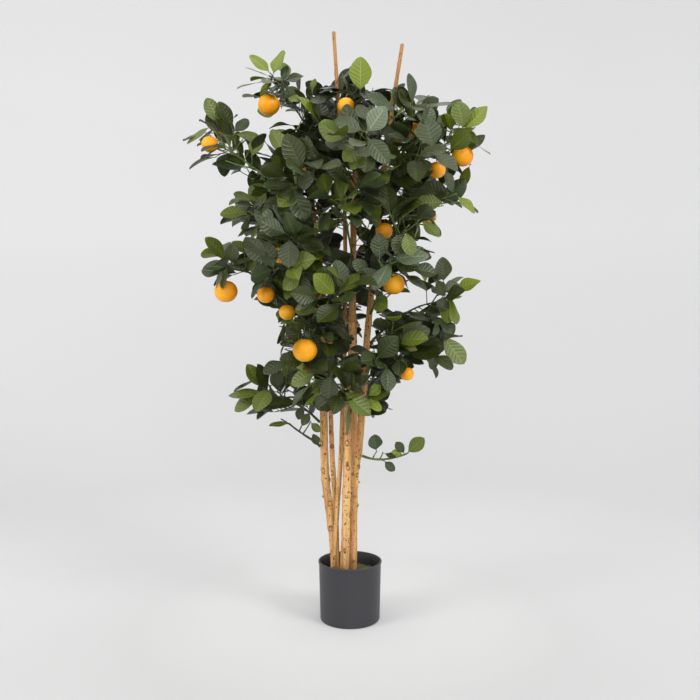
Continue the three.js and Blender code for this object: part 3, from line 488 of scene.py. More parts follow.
def back_sprays():
    sprays = {}
    for i in range(BACK["count"]):
        share = i / (BACK["count"] - 1)
        turned = ((i + 1) * BACK["turn"]) % 1
        azimuth = math.radians(lerp(*BACK["azimuths"], turned))
        start = lerp(*BACK["heights"], share)
        reachable = [name for name in BACK["sticks"] if STICKS[name]["top"][2] > start + BACK["rise"]]
        stick = reachable[math.floor(turned * len(reachable))]
        height = start + BACK["rise"]
        reach = crown_reach(height)
        end = (reach * math.cos(azimuth), reach * math.sin(azimuth), height)
        fruit = []
        if i % BACK["fruit_every"] == 1:
            at = BACK["fruit_at"]
            fruit.append((at * end[0], at * end[1], height - BACK["fruit_hang"], BACK["fruit_radius"]))
        sprays[f"back_{i + 1}"] = (stick, start, end, BACK["arch"], fruit)
    return sprays


class Stem:
    """A stem leaves its stick level and square, clear of it by the gap, and arches to its tip."""

    def __init__(self, spray):
        stick, start, end, arch, self.fruit = spray
        x, y, radius = stick_at(stick, start)
        end = np.array(end, float)
        out = unit(np.array((end[0] - x, end[1] - y, 0.0)))
        foot = np.array((x, y, start), float) + out * (radius + GAP)
        tip = end - unit(end - foot) * STEM["short"]
        self.reach = np.linalg.norm(tip - foot)
        middle = (foot + tip) / 2 + UP * arch * self.reach
        self.controls = (foot, middle, tip)
        steps = max(3, math.floor(self.reach / STEM["step"] + 0.5))
        self.points = np.array([self.at(step / steps) for step in range(steps + 1)])

    def at(self, share):
        return arc(*self.controls, share)

    def tangent(self, share):
        foot, middle, tip = self.controls
        return unit((1 - share) * (middle - foot) + share * (tip - middle))


SPRAYS = {**NAMED_SPRAYS, **back_sprays()}
SPRAY_NAMES = list(SPRAYS)
STEMS = [Stem(SPRAYS[name]) for name in SPRAY_NAMES]
ALL_FRUIT = np.array([fruit for stem in STEMS for fruit in stem.fruit], float)
FRONT_FRUIT = ALL_FRUIT[ALL_FRUIT[:, 1] < 0]
FINE_FRUIT = np.concatenate([ALL_FRUIT, [fruit for group in DEEP_FRUIT.values() for fruit in group]])
SEGMENT_FROM = np.concatenate([stem.points[:-1] for stem in STEMS])
SEGMENT_TO = np.concatenate([stem.points[1:] for stem in STEMS])
SEGMENT_OWNER = np.concatenate([[i] * (len(stem.points) - 1) for i, stem in enumerate(STEMS)])
OPENING_SHAPES = np.array(OPENINGS + STICK_OPENINGS).T
OPEN_THROUGH = np.arange(OPENING_SHAPES.shape[1]) < len(OPENINGS)


def segment_distances(points, starts, ends):
    """How far each point is from each line, and the nearest places."""
    span = ends - starts
    offset = points[:, None, :] - starts[None]
    share = np.clip((offset * span).sum(2) / (span * span).sum(1), 0, 1)
    nearest = starts + share[..., None] * span
    return np.linalg.norm(points[:, None, :] - nearest, axis=2), nearest


def nearest_on_stem(stem, place):
    distances, nearest = segment_distances(place[None], stem.points[:-1], stem.points[1:])
    return nearest[0, distances[0].argmin()]


def as_seen(points):
    """The x and the z at which each point is seen."""
    nearer = FRONT["distance"] / (FRONT["distance"] + points[:, 1])
    return points[:, 0] * nearer, lerp(FRONT["height"], points[:, 2], nearer)


def in_opening(points):
    x, z = as_seen(points)
    middle_x, middle_z, half_width, half_height = OPENING_SHAPES
    away = np.hypot((x[:, None] - middle_x) / half_width, (z[:, None] - middle_z) / half_height)
    counts = OPEN_THROUGH | (points[:, 1] < STICKS_BACK)[:, None]
    return (counts & (away < 1)).any()


def is_free(points, own, slack=0):
    """True where the points are in the spray's own space, clear of the openings, sticks and oranges."""
    if in_opening(points):
        return False
    for name, stick in STICKS.items():
        x, y, radius = stick_at(name, points[:, 2])
        low = points[:, 2] < stick["top"][2] + STICK_CLEARANCE
        if (low & (np.hypot(points[:, 0] - x, points[:, 1] - y) < radius + STICK_CLEARANCE)).any():
            return False
    fruit = FINE_FRUIT if slack else ALL_FRUIT
    to_fruit = np.linalg.norm(points[:, None, :] - fruit[None, :, :3], axis=2)
    if (to_fruit < fruit[:, 3] + FRUIT_CLEARANCE).any():
        return False
    distances, _ = segment_distances(points, SEGMENT_FROM, SEGMENT_TO)
    mine = SEGMENT_OWNER == own
    limit = distances[:, mine].min(1) + SPACE_CLEARANCE
    return bool((distances[:, ~mine].min(1) + slack > limit).all())


# Twigs and leaves.


def place_twig(own, index, start, direction, attempt, kind):
    draw = drawer(own, index, 0, attempt)
    spread = draw(*kind["spread"])
    turned = GOLDEN_ANGLE * index + 360 * hashed(own) + attempt * draw(*TWIG["retry"])
    heading = unit(leaned(direction, spread, turned) + UP * TWIG["lift"])
    length = draw(*kind["length"])
    return {"start": start, "heading": heading, "length": length, "end": start + heading * length}


def twig_is_free(twig, own, slack=0):
    places = np.array(TWIG_PROBES)[:, None] * twig["length"]
    return is_free(twig["start"] + places * twig["heading"], own, slack)


class Leaf:
    def __init__(self, keys, kind, root, along, face, length, shade=None):
        self.keys = keys
        self.root = root
        self.along = along
        self.face = face
        self.across = np.cross(face, along)
        self.length = length
        self.half_width = 0.5 * kind["width"] * length
        self.shade = shade
        self.middle = self.on([0.5], [0])[0]
        self.lines = None

    def on(self, along, across):
        """Points on the leaf, from shares of its length and of its half width."""
        return (
            self.root
            + np.multiply.outer(np.array(along) * self.length, self.along)
            + np.multiply.outer(np.array(across) * self.half_width, self.across)
        )

    def rim_lines(self):
        """The straight lines of its rim and midrib, as their starts and ends."""
        if self.lines is None:
            rim = ((0, 0), *LEAF_OUTLINE, (1, 0))
            starts = []
            ends = []
            for side in (-1, 0, 1):
                points = self.on([along for along, _ in rim], [side * across for _, across in rim])
                starts.append(points[:-1])
                ends.append(points[1:])
            self.lines = (np.concatenate(starts), np.concatenate(ends))
        return self.lines


def place_leaf(kind, own, index, number, root, heading, spreads, attempt):
    """A leaf stands out of its twig, its upper face towards the twig's tip and the sky."""
    draw = drawer(own, index, number + 1, attempt)
    spread = draw(*spreads)
    turned = GOLDEN_ANGLE * number + 360 * hashed(own, index) + attempt * draw(*LEAF_RETRY)
    along = unit(leaned(heading, spread, turned) - UP * draw(*LEAF_DROOP))
    sway = np.array((draw(*FACE_SWAY["x"]), draw(*FACE_SWAY["y"]), 0))
    face = heading * FACE_ALONG_TWIG + sway + UP * (FACE_UP + draw(*FACE_SWAY["z"]))
    face = square_to(along, face)
    return Leaf((own, index, number), kind, root, along, face, draw(*kind["length"]))


def shown_leaf(own, index, number, root, place, angle, reach, seen_width, shade):
    """A leaf that faces the front and ends where its tip is seen, turned where it looks narrow."""
    draw = drawer(own, SHOWN_INDEX + index, number + 1)
    turn = math.radians(angle)
    to_tip = np.array((math.cos(turn), draw(*SHOWN_SWAY), math.sin(turn))) * reach
    along = place + to_tip - root
    length = np.linalg.norm(along)
    along = unit(along)
    face = square_to(along, np.array((0.0, -1.0, 0.0)))
    width = max(seen_width / length, SHOWN_LEAF["width"])
    rolled = max(SHOWN_ROLL, math.acos(seen_width / (width * length)))
    if along[0] > 0:
        rolled = -rolled
    face = face * math.cos(rolled) + np.cross(along, face) * math.sin(rolled)
    kind = {**SHOWN_LEAF, "width": width}
    return Leaf((own, SHOWN_INDEX + index, number), kind, root, along, face, length, shade)


def shown_cluster(own, index, place, shown_leaves):
    """A twig from the stem to the cluster's place, and the leaves that step back along the twig's end."""
    x, y, z = place
    further = (FRONT["distance"] + y) / FRONT["distance"]
    end = np.array((x * further, y, lerp(FRONT["height"], z, further)), float)
    stem = STEMS[own]
    start = nearest_on_stem(stem, end + (stem.points[0] - end) * SHOWN_BACK)
    length = np.linalg.norm(end - start)
    heading = (end - start) / length
    pitch = min(ROOT_PITCH, length / (len(shown_leaves) + 1))
    leaves = []
    for number, values in enumerate(shown_leaves):
        root = end - heading * (ROOT_SUNK + number * pitch)
        leaves.append(shown_leaf(own, index, number, root, end, *values))
    return {"start": start, "heading": heading, "length": length, "end": end}, leaves


def leaf_is_free(leaf, own, slack=0):
    along = [share for share, _ in LEAF_PROBES for _ in range(3)]
    across = [side * share for _, share in LEAF_PROBES for side in (-1, 0, 1)]
    return is_free(leaf.on(along, across), own, slack)


def pierces(starts, ends, leaf):
    """True where any of the lines goes through the leaf's blade."""
    low = starts - leaf.root
    high = ends - leaf.root
    below = low @ leaf.face
    above = high @ leaf.face
    through = below * above < 0
    if not through.any():
        return False
    share = below[through] / (below[through] - above[through])
    place = low[through] + share[:, None] * (high[through] - low[through])
    along = place @ leaf.along / leaf.length
    across = np.abs(place @ leaf.across) / leaf.half_width
    stations = (LEAF_NECK, *(station for station, _ in LEAF_OUTLINE), 1)
    widths = (0, *(width for _, width in LEAF_OUTLINE), 0)
    outline = np.interp(along, stations, widths)
    return bool(((along > LEAF_NECK) & (along < 1) & (across < outline)).any())


def hides(leaf, middles, clear):
    """True where a leaf's middle is seen in front of one of some places, or this near beside it."""
    x, z = as_seen(leaf.middle[None])
    seen_x, seen_z = as_seen(middles)
    near = np.hypot(seen_x - x, seen_z - z) < clear
    return (near & (leaf.middle[1] < middles[:, 1])).any()


def is_apart(leaf, others, limbs, apart):
    """True where a leaf crosses neither limbs nor other leaves and doesn't lie on one of those."""
    middles = np.array([other.middle for other in others]).reshape(-1, 3)
    away = np.linalg.norm(middles - leaf.middle, axis=1)
    if (away <= apart).any():
        return False
    if pierces(np.array([limb[0] for limb in limbs]), np.array([limb[1] for limb in limbs]), leaf):
        return False
    lines = leaf.rim_lines()
    for i in np.flatnonzero(away < LEAF["length"][1]):
        if pierces(*lines, others[i]) or pierces(*others[i].rim_lines(), leaf):
            return False
    return True


def first_free(place, test):
    for attempt in range(ATTEMPTS):
        candidate = place(attempt)
        if test(candidate):
            return candidate
    return None


def leaves_on_twig(kind, length):
    """A twig's leaves: each one's kind, how far back from the twig's end it is rooted, and its spread."""
    return (
        (kind, ROOT_SUNK, LAST_SPREAD),
        (kind, ROOT_SUNK + ROOT_PITCH, PAIR_SPREAD),
        (kind, BACK_LEAF_AT * length, BACK_SPREAD),
    )


class Spray:
    """The twigs and leaves of one stem: those that the solid has, and then the finer growth."""

    shown_middles = None
    fine_middles = None

    def __init__(self, own):
        self.own = own
        self.name = SPRAY_NAMES[own]
        self.node = f"spray_{self.name}"
        self.stem = STEMS[own]
        self.twigs = []
        self.fine_twigs = []
        self.leaves = []
        for index, cluster in enumerate(SHOWN_LEAVES.get(self.name, ())):
            twig, leaves = shown_cluster(own, index, *cluster)
            self.twigs.append(twig)
            self.leaves += leaves
        self.has_shown = bool(self.leaves)
        self.limbs = list(zip(self.stem.points[:-1], self.stem.points[1:]))

    def add_leaves(self, index, end, heading, rooted, others, apart=LEAF_APART, slack=0):
        """Adds those leaves of a twig's or a stem's end that find a free place, and returns them."""
        middles = self.fine_middles if slack else self.shown_middles

        def test(leaf):
            return (
                leaf_is_free(leaf, self.own, slack)
                and not hides(leaf, middles, SHOWN_CLEAR)
                and not (slack and hides(leaf, FRONT_FRUIT, FRONT_FRUIT[:, 3] + FRUIT_IN_VIEW))
                and is_apart(leaf, others, self.limbs, apart)
            )

        grown = []
        for number, (kind, back, spreads) in enumerate(rooted):
            values = (kind, self.own, index, number, end - heading * back, heading, spreads)
            leaf = first_free(lambda attempt: place_leaf(*values, attempt), test)
            if leaf:
                self.leaves.append(leaf)
                others.append(leaf)
                grown.append(leaf)
        return grown

    def add_twig(self, index, start, direction, kind, others, slack=0):
        def test(twig):
            starts = start[None]
            ends = twig["end"][None]
            return twig_is_free(twig, self.own, slack) and not any(
                pierces(starts, ends, leaf) for leaf in others
            )

        twig = first_free(
            lambda attempt: place_twig(self.own, index, start, direction, attempt, kind),
            test,
        )
        if twig:
            self.limbs.append((start, twig["end"]))
        return twig

    def grow(self, shown_leaves, shown_limbs):
        """The growth of the solid, which keeps clear of every spray's clusters."""
        if self.name in YOUNG_SPRAYS:
            return
        others = self.leaves + [leaf for leaf in shown_leaves if leaf.keys[0] != self.own]
        self.limbs += shown_limbs
        count = max(2, math.floor(self.stem.reach * (1 - TWIG["from"]) / TWIG["pitch"] + 0.5))
        for index in range(count):
            share = lerp(TWIG["from"], TWIG["to"], (index + 0.5) / count)
            twig = self.add_twig(index, self.stem.at(share), self.stem.tangent(share), TWIG, others)
            if twig:
                self.twigs.append(twig)
                rooted = leaves_on_twig(LEAF, twig["length"])
                self.add_leaves(index, twig["end"], twig["heading"], rooted, others)
        if not self.has_shown:
            self.add_leaves(count, self.stem.at(1), self.stem.tangent(1), TIP_LEAVES, others)

    def grow_finer(self, everything):
        """Small twigs step along the stem and stand on the twigs, each with up to three leaves."""
        if self.name in YOUNG_SPRAYS:
            return
        fine = FRONT_FINE if self.name in FRONT_SPRAYS else FINE
        slack = FINE["slack"]
        count = round(self.stem.reach / fine["pitch"])
        starts = []
        for i in range(count):
            share = lerp(FINE["from"], FINE["to"], (i + 0.5) / count)
            starts.append((FINE_INDEX + i, self.stem.at(share), self.stem.tangent(share), fine))
        for i, twig in enumerate(self.twigs):
            for j, at in enumerate(SIDE["at"]):
                place = twig["start"] + twig["heading"] * twig["length"] * at
                starts.append((2 * FINE_INDEX + 2 * i + j, place, twig["heading"], {**FINE, **SIDE}))
        for index, start, direction, kind in starts:
            near = [leaf for leaf in everything if np.linalg.norm(leaf.middle - start) < NEIGHBOURHOOD]
            twig = self.add_twig(index, start, direction, kind, near, slack)
            if not twig:
                continue
            rooted = leaves_on_twig(SMALL_LEAF, twig["length"])
            grown = self.add_leaves(index, twig["end"], twig["heading"], rooted, near, FINE_APART, slack)
            everything += grown
            if grown:
                self.fine_twigs.append(twig)


def grow_crown():
    sprays = [Spray(own) for own in range(len(SPRAY_NAMES))]
    shown_leaves = [leaf for spray in sprays for leaf in spray.leaves]
    Spray.fine_middles = np.array([leaf.middle for leaf in shown_leaves])
    Spray.shown_middles = np.concatenate([Spray.fine_middles, ALL_FRUIT[:, :3]])
    shown_limbs = [(twig["start"], twig["end"]) for spray in sprays for twig in spray.twigs]
    for spray in sprays:
        spray.grow(shown_leaves, shown_limbs)
    everything = [leaf for spray in sprays for leaf in spray.leaves]
    for spray in sprays:
        spray.grow_finer(everything)
    return sprays


# Meshes. A pile gathers the points and faces of one piece.


class Pile:
    def __init__(self, name):
        self.name = name
        self.nodes = set()
        self.points = []
        self.faces = []
        self.slots = []
        self.uvs = []
        self.count = 0

    def add(self, points, faces, slot=0, uvs=None):
        """Adds points in millimetres and their faces. The slot is one number or one for each face."""
        self.points.append(np.asarray(points, float))
        self.faces += [tuple(self.count + corner for corner in face) for face in faces]
        self.slots += [slot] * len(faces) if isinstance(slot, int) else list(slot)
        if uvs is not None:
            self.uvs.append(uvs)
        self.count += len(points)

    def to_object(self, materials, attributes=None):
        mesh = bpy.data.meshes.new(self.name)
        points = np.concatenate(self.points) * MM
        mesh.from_pydata(points.tolist(), [], self.faces)
        mesh.polygons.foreach_set("use_smooth", [True] * len(self.faces))
        mesh.polygons.foreach_set("material_index", self.slots)
        if self.uvs:
            corners = np.empty(len(mesh.loops), np.int32)
            mesh.loops.foreach_get("vertex_index", corners)
            layer = mesh.uv_layers.new(name="UVMap")
            layer.data.foreach_set("uv", np.concatenate(self.uvs)[corners].ravel())
        for name, values in (attributes or {}).items():
            layer = mesh.attributes.new(name, "FLOAT", "POINT")
            layer.data.foreach_set("value", np.asarray(values, np.float32))
        for material in materials:
            mesh.materials.append(material)
        mesh.validate()
        piece = bpy.data.objects.new(self.name, mesh)
        bpy.context.scene.collection.objects.link(piece)
        return piece

    def dress(self, slot, materials, attributes=None):
        """Makes the piece, which rides with the body, takes its materials and stands for its solids. The
        slot is not used.
        """
        piece = self.to_object(materials, attributes)
        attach(piece, "root")
        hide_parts(*sorted(self.nodes))


def grid_faces(rows, columns, closed):
    """The four-cornered faces of a grid of points, closed round on itself or not."""
    width = columns if closed else columns + 1
    faces = []
    for row in range(rows):
        for column in range(columns):
            right = (column + 1) % width
            low = row * width
            faces.append((low + column, low + right, low + width + right, low + width + column))
    return faces


def capped_faces(rows, sides):
    """The faces of a tube of rings that a point inside its first ring and one inside its last close."""
    count = (rows + 1) * sides
    faces = grid_faces(rows, sides, True)
    for side in range(sides):
        right = (side + 1) % sides
        faces.append((count, right, side))
        faces.append((count + 1, count - sides + side, count - sides + right))
    return faces


def angles_round(sides):
    return np.arange(sides) * TAU / sides


def add_tube(pile, points, radii, sides, slot=0):
    """A closed tube through points, with flat ends."""
    points = np.asarray(points, float)
    directions = np.gradient(points, axis=0)
    directions /= np.linalg.norm(directions, axis=1)[:, None]
    overall = unit(points[-1] - points[0])
    across = np.eye(3)[np.abs(overall).argmin()]
    side = np.cross(directions, across)
    side /= np.linalg.norm(side, axis=1)[:, None]
    rise = np.cross(side, directions)
    angles = angles_round(sides)
    ring = np.cos(angles)[None, :, None] * side[:, None] - np.sin(angles)[None, :, None] * rise[:, None]
    tube = points[:, None] + ring * np.asarray(radii, float)[:, None, None]
    rings = len(points)
    faces = grid_faces(rings - 1, sides, True)
    faces.append(tuple(reversed(range(sides))))
    faces.append(tuple(range((rings - 1) * sides, rings * sides)))
    pile.add(tube.reshape(-1, 3), faces, slot)


def ripple(angle, height, seed, waves):
    """A smooth uneven surface, made of a few waves round and along a stick, from -1 to 1."""
    total = np.zeros_like(angle)
    weight = 0
    for wave in range(waves):
        around = 1 + math.floor(5 * hashed(seed, wave, 1))
        along = lerp(0.02, 0.3, hashed(seed, wave, 2))
        share = 1 / (1 + 4 * along)
        phase = TAU * hashed(seed, wave, 3)
        total += share * np.sin(around * angle + along * height + phase)
        weight += share
    return total / weight


# Leaves.

# The crown's pieces are parted at this height.
CROWN_HALF = 760
LEAF_ROWS = 20
RIB_HALF = 0.05
LEAF_COLUMNS = (-1, -0.8, -0.5, -0.22, -RIB_HALF, RIB_HALF, 0.22, 0.5, 0.8, 1)
LEAF_SCALE = 0.97
SHOWN_SCALE = 1.02
BLADE_WIDEN = 1.06
PETIOLE_SHARE = 0.1
VEIN_COUNT = 8
VEIN_SLOPE = 1.5
VEIN_RELIEF = 0.55
RIB_RELIEF = 0.5
RIB_SPREAD = 1.4
LEAST_WIDTH = 0.03
ROOT_FULLNESS = 0.95
RIM_WAVES = {"width": 0.03, "across": 9, "up": 7.5}
FOLD_POWER = 1.25
SWAY_SHARE = 0.25
# Each blade's own form is drawn within these limits. The fold is in degrees, and the last two set how
# full the outline is. The shown leaves have these shares of it.
LEAF_FORM = {
    "fold": (4, 20),
    "curl": (-0.15, 0.6),
    "sway": (-0.35, 0.35),
    "twist": (-0.3, 0.3),
    "wave": (0.4, 1.7),
    "phase": (0, 6.28),
    "shape": (0.98, 1.22),
    "blunt": (0.54, 0.72),
}
SHOWN_FORM = {"fold": 0.4, "curl": 0.4, "sway": 0.5, "twist": 0.4}
# The chances of each shade. Those of middle and deep green differ from spray to spray.
SHADE_CHANCES = {
    "fresh": 0.02,
    "fresh_in_fresh_spray": 0.1,
    "fresh_at_tip": 0.5,
    "middle": (0.14, 0.34),
    "deep": (0.25, 0.6),
}
# Each shade's colour, its rib's colour and its roughness.
LEAF_LOOKS = {
    "pale": ((104, 118, 92), (138, 148, 116), 0.27),
    "deep": ((60, 72, 38), (82, 94, 54), 0.29),
    "dark": ((53, 63, 18), (74, 84, 32), 0.31),
    # The inner green is painted shade, for the finer leaves deep in the crown.
    "inner": ((38, 46, 14), (52, 60, 24), 0.38),
    "middle": ((95, 109, 36), (118, 130, 54), 0.34),
    "fresh": ((120, 136, 34), (142, 156, 62), 0.42),
}
PETIOLE = {
    "shares": (0, 0.3, 0.65, 1),
    "sinks": (0, 0.6, 0, 0.9),
    "radii": (0.95, 0.7, 0.65, 0.45),
    "past": 0.08,
}


def leaf_points(leaf):
    """The blade's grid: folded along its rib, curled, waved at its rim and raised between its veins."""
    draw = drawer(*leaf.keys, 7)
    form = {name: draw(*limits) for name, limits in LEAF_FORM.items()}
    if leaf.shade:
        form.update({name: share * form[name] for name, share in SHOWN_FORM.items()})
    fold, curl, sway, twist, wave, phase, shape, blunt = form.values()
    fold = math.radians(fold)
    whole = (SHOWN_SCALE if leaf.shade else LEAF_SCALE) * leaf.length
    length = whole * (1 - PETIOLE_SHARE)
    t = np.linspace(0, 1, LEAF_ROWS + 1)[:, None]
    u = np.array(LEAF_COLUMNS)[None]
    away = np.abs(u)
    width = np.maximum(np.sin(math.pi * t ** shape), 0) ** lerp(ROOT_FULLNESS, blunt, t)
    width = np.maximum(width, LEAST_WIDTH) * BLADE_WIDEN * leaf.half_width
    width = width * (1 + RIM_WAVES["width"] * wave * np.sin(RIM_WAVES["across"] * t + phase) * away)
    across = u * width * math.cos(fold)
    height = away ** FOLD_POWER * width * math.sin(fold)
    height = height + wave * away ** 2 * np.sin(RIM_WAVES["up"] * t + phase + np.sign(u))
    veins = np.cos(TAU * (VEIN_COUNT * t - VEIN_SLOPE * away))
    veins = veins * np.clip(3 * away, 0, 1) * (1 - away ** 4) * np.sin(math.pi * t) ** 0.5
    height = height - VEIN_RELIEF * veins - RIB_RELIEF * np.exp(-((u * width / RIB_SPREAD) ** 2))
    bend = curl * t + 1e-6
    ahead = length * t * np.sinc(bend / math.pi)
    drop = -length * t * (1 - np.cos(bend)) / bend
    across = across + sway * length * t ** 2 * SWAY_SHARE
    turn = twist * t
    side = across * np.cos(turn) - height * np.sin(turn)
    lift = across * np.sin(turn) + height * np.cos(turn)
    forward = whole * PETIOLE_SHARE + ahead + lift * np.sin(bend)
    above = drop + lift * np.cos(bend)
    return (
        leaf.root
        + forward[..., None] * leaf.along
        + side[..., None] * leaf.across
        + above[..., None] * leaf.face
    ).reshape(-1, 3)


def shade_of(leaf, spray):
    """Tip leaves are fresh, the finest ones near the sticks the inner green, which is painted shade, and
    the rest dark to middle green.
    """
    if leaf.shade:
        return leaf.shade
    own, index, number = leaf.keys
    if index >= FINE_INDEX and np.hypot(leaf.middle[0] - INNER_PAINTED_SHADE["x"], leaf.middle[1]) < INNER_PAINTED_SHADE["reach"]:
        return "inner"
    chance = hashed(own, index, number, 11)
    fresh = SHADE_CHANCES["fresh_in_fresh_spray" if spray.name in FRESH_SPRAYS else "fresh"]
    if number == len(TIP_LEAVES) - 1:
        fresh += SHADE_CHANCES["fresh_at_tip"]
    if chance < fresh:
        return "fresh"
    chance = (chance - fresh) / (1 - fresh)
    middle = lerp(*SHADE_CHANCES["middle"], hashed(own, 12))
    deep = lerp(*SHADE_CHANCES["deep"], hashed(own, 13))
    if chance < middle:
        return "middle"
    return "deep" if chance < middle + deep else "dark"


def add_leaf(pile, leaf):
    points = leaf_points(leaf)
    columns = len(LEAF_COLUMNS) - 1
    faces = grid_faces(LEAF_ROWS, columns, False)
    slots = [int(face % columns == columns // 2) for face in range(len(faces))]
    along = np.repeat(np.linspace(0, 1, LEAF_ROWS + 1), columns + 1)
    across = np.tile((np.array(LEAF_COLUMNS) + 1) / 2, LEAF_ROWS + 1)
    pile.add(points, faces, slots, np.stack([across, along], 1))


def add_petiole(pile, leaf):
    reach = LEAF_SCALE * leaf.length * (PETIOLE_SHARE + PETIOLE["past"])
    points = [
        leaf.root + leaf.along * reach * share - leaf.face * sink
        for share, sink in zip(PETIOLE["shares"], PETIOLE["sinks"])
    ]
    add_tube(pile, points, PETIOLE["radii"], 5)


# Materials. Colours are given as they look on a screen.


def screen(red, green, blue):
    def linear(value):
        value /= 255
        return value / 12.92 if value <= 0.04045 else ((value + 0.055) / 1.055) ** 2.4

    return (linear(red), linear(green), linear(blue), 1)


class Nodes:
    """Short ways to build a material's nodes. A socket is named, or is i and its number."""

    def __init__(self, name, color, roughness, specular):
        self.material = bpy.data.materials.new(name)
        self.material.use_nodes = True
        self.tree = self.material.node_tree
        self.shader = self.tree.nodes["Principled BSDF"]
        self.shade(Base_Color=screen(*color), Roughness=roughness, Specular_IOR_Level=specular)

    def put(self, node, socket, value):
        numbered = socket[0] == "i" and socket[1:].isdigit()
        target = node.inputs[int(socket[1:]) if numbered else socket]
        if isinstance(value, bpy.types.NodeSocket):
            self.tree.links.new(value, target)
        else:
            target.default_value = value

    def shade(self, **values):
        for key, value in values.items():
            self.put(self.shader, key.replace("_", " "), value)

    def node(self, kind, settings=None, **values):
        node = self.tree.nodes.new("ShaderNode" + kind)
        for key, value in (settings or {}).items():
            setattr(node, key, value)
        for key, value in values.items():
            self.put(node, key.replace("_", " "), value)
        return node

    def math(self, operation, first, second=0.0):
        return self.node("Math", {"operation": operation}, i0=first, i1=second).outputs[0]

    def times(self, first, second):
        return self.math("MULTIPLY", first, second)

    def minus(self, first, second):
        return self.math("SUBTRACT", first, second)

    def place(self):
        return self.node("TexCoord").outputs["Object"]

    def stretched(self, upright):
        """The place, with its height scaled."""
        return self.node("Mapping", Vector=self.place(), Scale=(1, 1, upright)).outputs[0]

    def noise(self, scale, detail, place=None):
        place = place or self.place()
        return self.node("TexNoise", Vector=place, Scale=scale, Detail=detail).outputs["Fac"]

    def spread(self, value, low, high):
        return self.node("MapRange", Value=value, From_Min=low, From_Max=high).outputs[0]

    def patches(self, scale, detail, low, high, place=None):
        """Soft patches, from the noise between two of its values."""
        return self.spread(self.noise(scale, detail, place), low, high)

    def mix(self, share, first, second):
        """A colour between two, each a socket or as it looks on a screen."""
        first, second = (screen(*one) if isinstance(one, tuple) else one for one in (first, second))
        return self.node("Mix", {"data_type": "RGBA"}, i0=share, i6=first, i7=second).outputs[2]

    def bump(self, height, distance, strength):
        node = self.node("Bump", Height=height, Distance=distance, Strength=strength)
        self.shade(Normal=node.outputs[0])


def blade_material(name, color, roughness):
    """One shade of leaf. Its fine veins and its cloth-like grain are in the bump."""
    nodes = Nodes(name, color, roughness, 0.5)
    across, along, _ = nodes.node("SeparateXYZ", Vector=nodes.node("TexCoord").outputs["UV"]).outputs
    away = nodes.math("ABSOLUTE", nodes.minus(across, 0.5))
    phase = nodes.minus(nodes.times(along, 50.3), nodes.times(away, 19))
    veins = nodes.math("ABSOLUTE", nodes.math("COSINE", nodes.times(phase, 0.5)))
    veins = nodes.math("POWER", veins, 9.0)
    grain = nodes.noise(900, 2.0)
    nodes.bump(nodes.math("ADD", nodes.times(veins, -1.0), nodes.times(grain, 0.5)), 0.0008, 0.8)
    return nodes.material


def rib_material(name, color):
    nodes = Nodes(name, color, 0.45, 0.4)
    nodes.bump(nodes.noise(700, 2.0), 0.0002, 0.4)
    return nodes.material


def stem_material(name, color, dark):
    nodes = Nodes(name, color, 0.5, 0.4)
    nodes.shade(Base_Color=nodes.mix(nodes.patches(120, 3.0, 0.4, 0.62), color, dark))
    nodes.bump(nodes.noise(900, 3.0), 0.0003, 0.5)
    return nodes.material


def bark_material():
    """Tan wood, browner in the crown as painted shade and darker down in the pot as painted shade, with
    streaks, pinkish clouds, dark specks and ring-shaped scars.
    """
    nodes = Nodes("bark", (205, 165, 105), 0.7, 0.25)
    streaks = nodes.patches(140, 5.0, 0.36, 0.64, nodes.stretched(0.06))
    tone = nodes.mix(streaks, (229, 186, 122), (180, 132, 76))
    clouds = nodes.patches(34, 3.0, 0.5, 0.7)
    tone = nodes.mix(nodes.times(clouds, 0.7), tone, (220, 158, 116))
    height = nodes.node("SeparateXYZ", Vector=nodes.place()).outputs[2]
    # Painted shade: the bark turns browner up in the crown, where the leaves shade it.
    inside = nodes.spread(height, 0.6, 0.76)
    tone = nodes.mix(nodes.times(inside, 0.66), tone, (158, 106, 60))
    # Painted shade: the bark darkens where the sticks go down into the pot.
    foot = nodes.minus(1.0, nodes.spread(height, 0.09, 0.128))
    tone = nodes.mix(nodes.times(foot, 0.6), tone, (120, 78, 46))
    specks = nodes.patches(640, 3.0, 0.56, 0.66, nodes.stretched(0.6))
    tone = nodes.mix(nodes.times(specks, 0.7), tone, (150, 94, 50))
    flecks = nodes.patches(230, 2.0, 0.63, 0.67, nodes.stretched(0.7))
    tone = nodes.mix(flecks, tone, (112, 66, 36))
    cells = nodes.node("TexVoronoi", Vector=nodes.stretched(0.7), Scale=58.0)
    away = nodes.math("ADD", cells.outputs["Distance"], nodes.times(nodes.noise(330, 2.0), 0.14))
    line = nodes.math("ABSOLUTE", nodes.minus(away, 0.29))
    ring = nodes.minus(1.0, nodes.spread(line, 0.02, 0.07))
    chosen = nodes.node("SeparateColor", Color=cells.outputs["Color"]).outputs[0]
    ring = nodes.times(ring, nodes.spread(chosen, 0.6, 0.62))
    tone = nodes.mix(nodes.times(ring, 0.85), tone, (122, 66, 42))
    scars = nodes.node("Attribute", {"attribute_name": "scar"}).outputs["Fac"]
    rough = nodes.times(scars, nodes.patches(260, 4.0, 0.3, 0.5))
    nodes.shade(Base_Color=nodes.mix(rough, tone, (84, 46, 28)))
    fine = nodes.noise(420, 5.0, nodes.stretched(0.12))
    pits = nodes.times(nodes.math("ADD", flecks, ring), 0.5)
    nodes.bump(nodes.minus(fine, pits), 0.0011, 0.9)
    return nodes.material


def cut_material():
    nodes = Nodes("cut_wood", (150, 104, 66), 0.8, 0.2)
    rings = nodes.noise(500, 4.0)
    nodes.shade(Base_Color=nodes.mix(nodes.spread(rings, 0.4, 0.6), (168, 120, 76), (108, 68, 42)))
    nodes.bump(rings, 0.0004, 0.6)
    return nodes.material


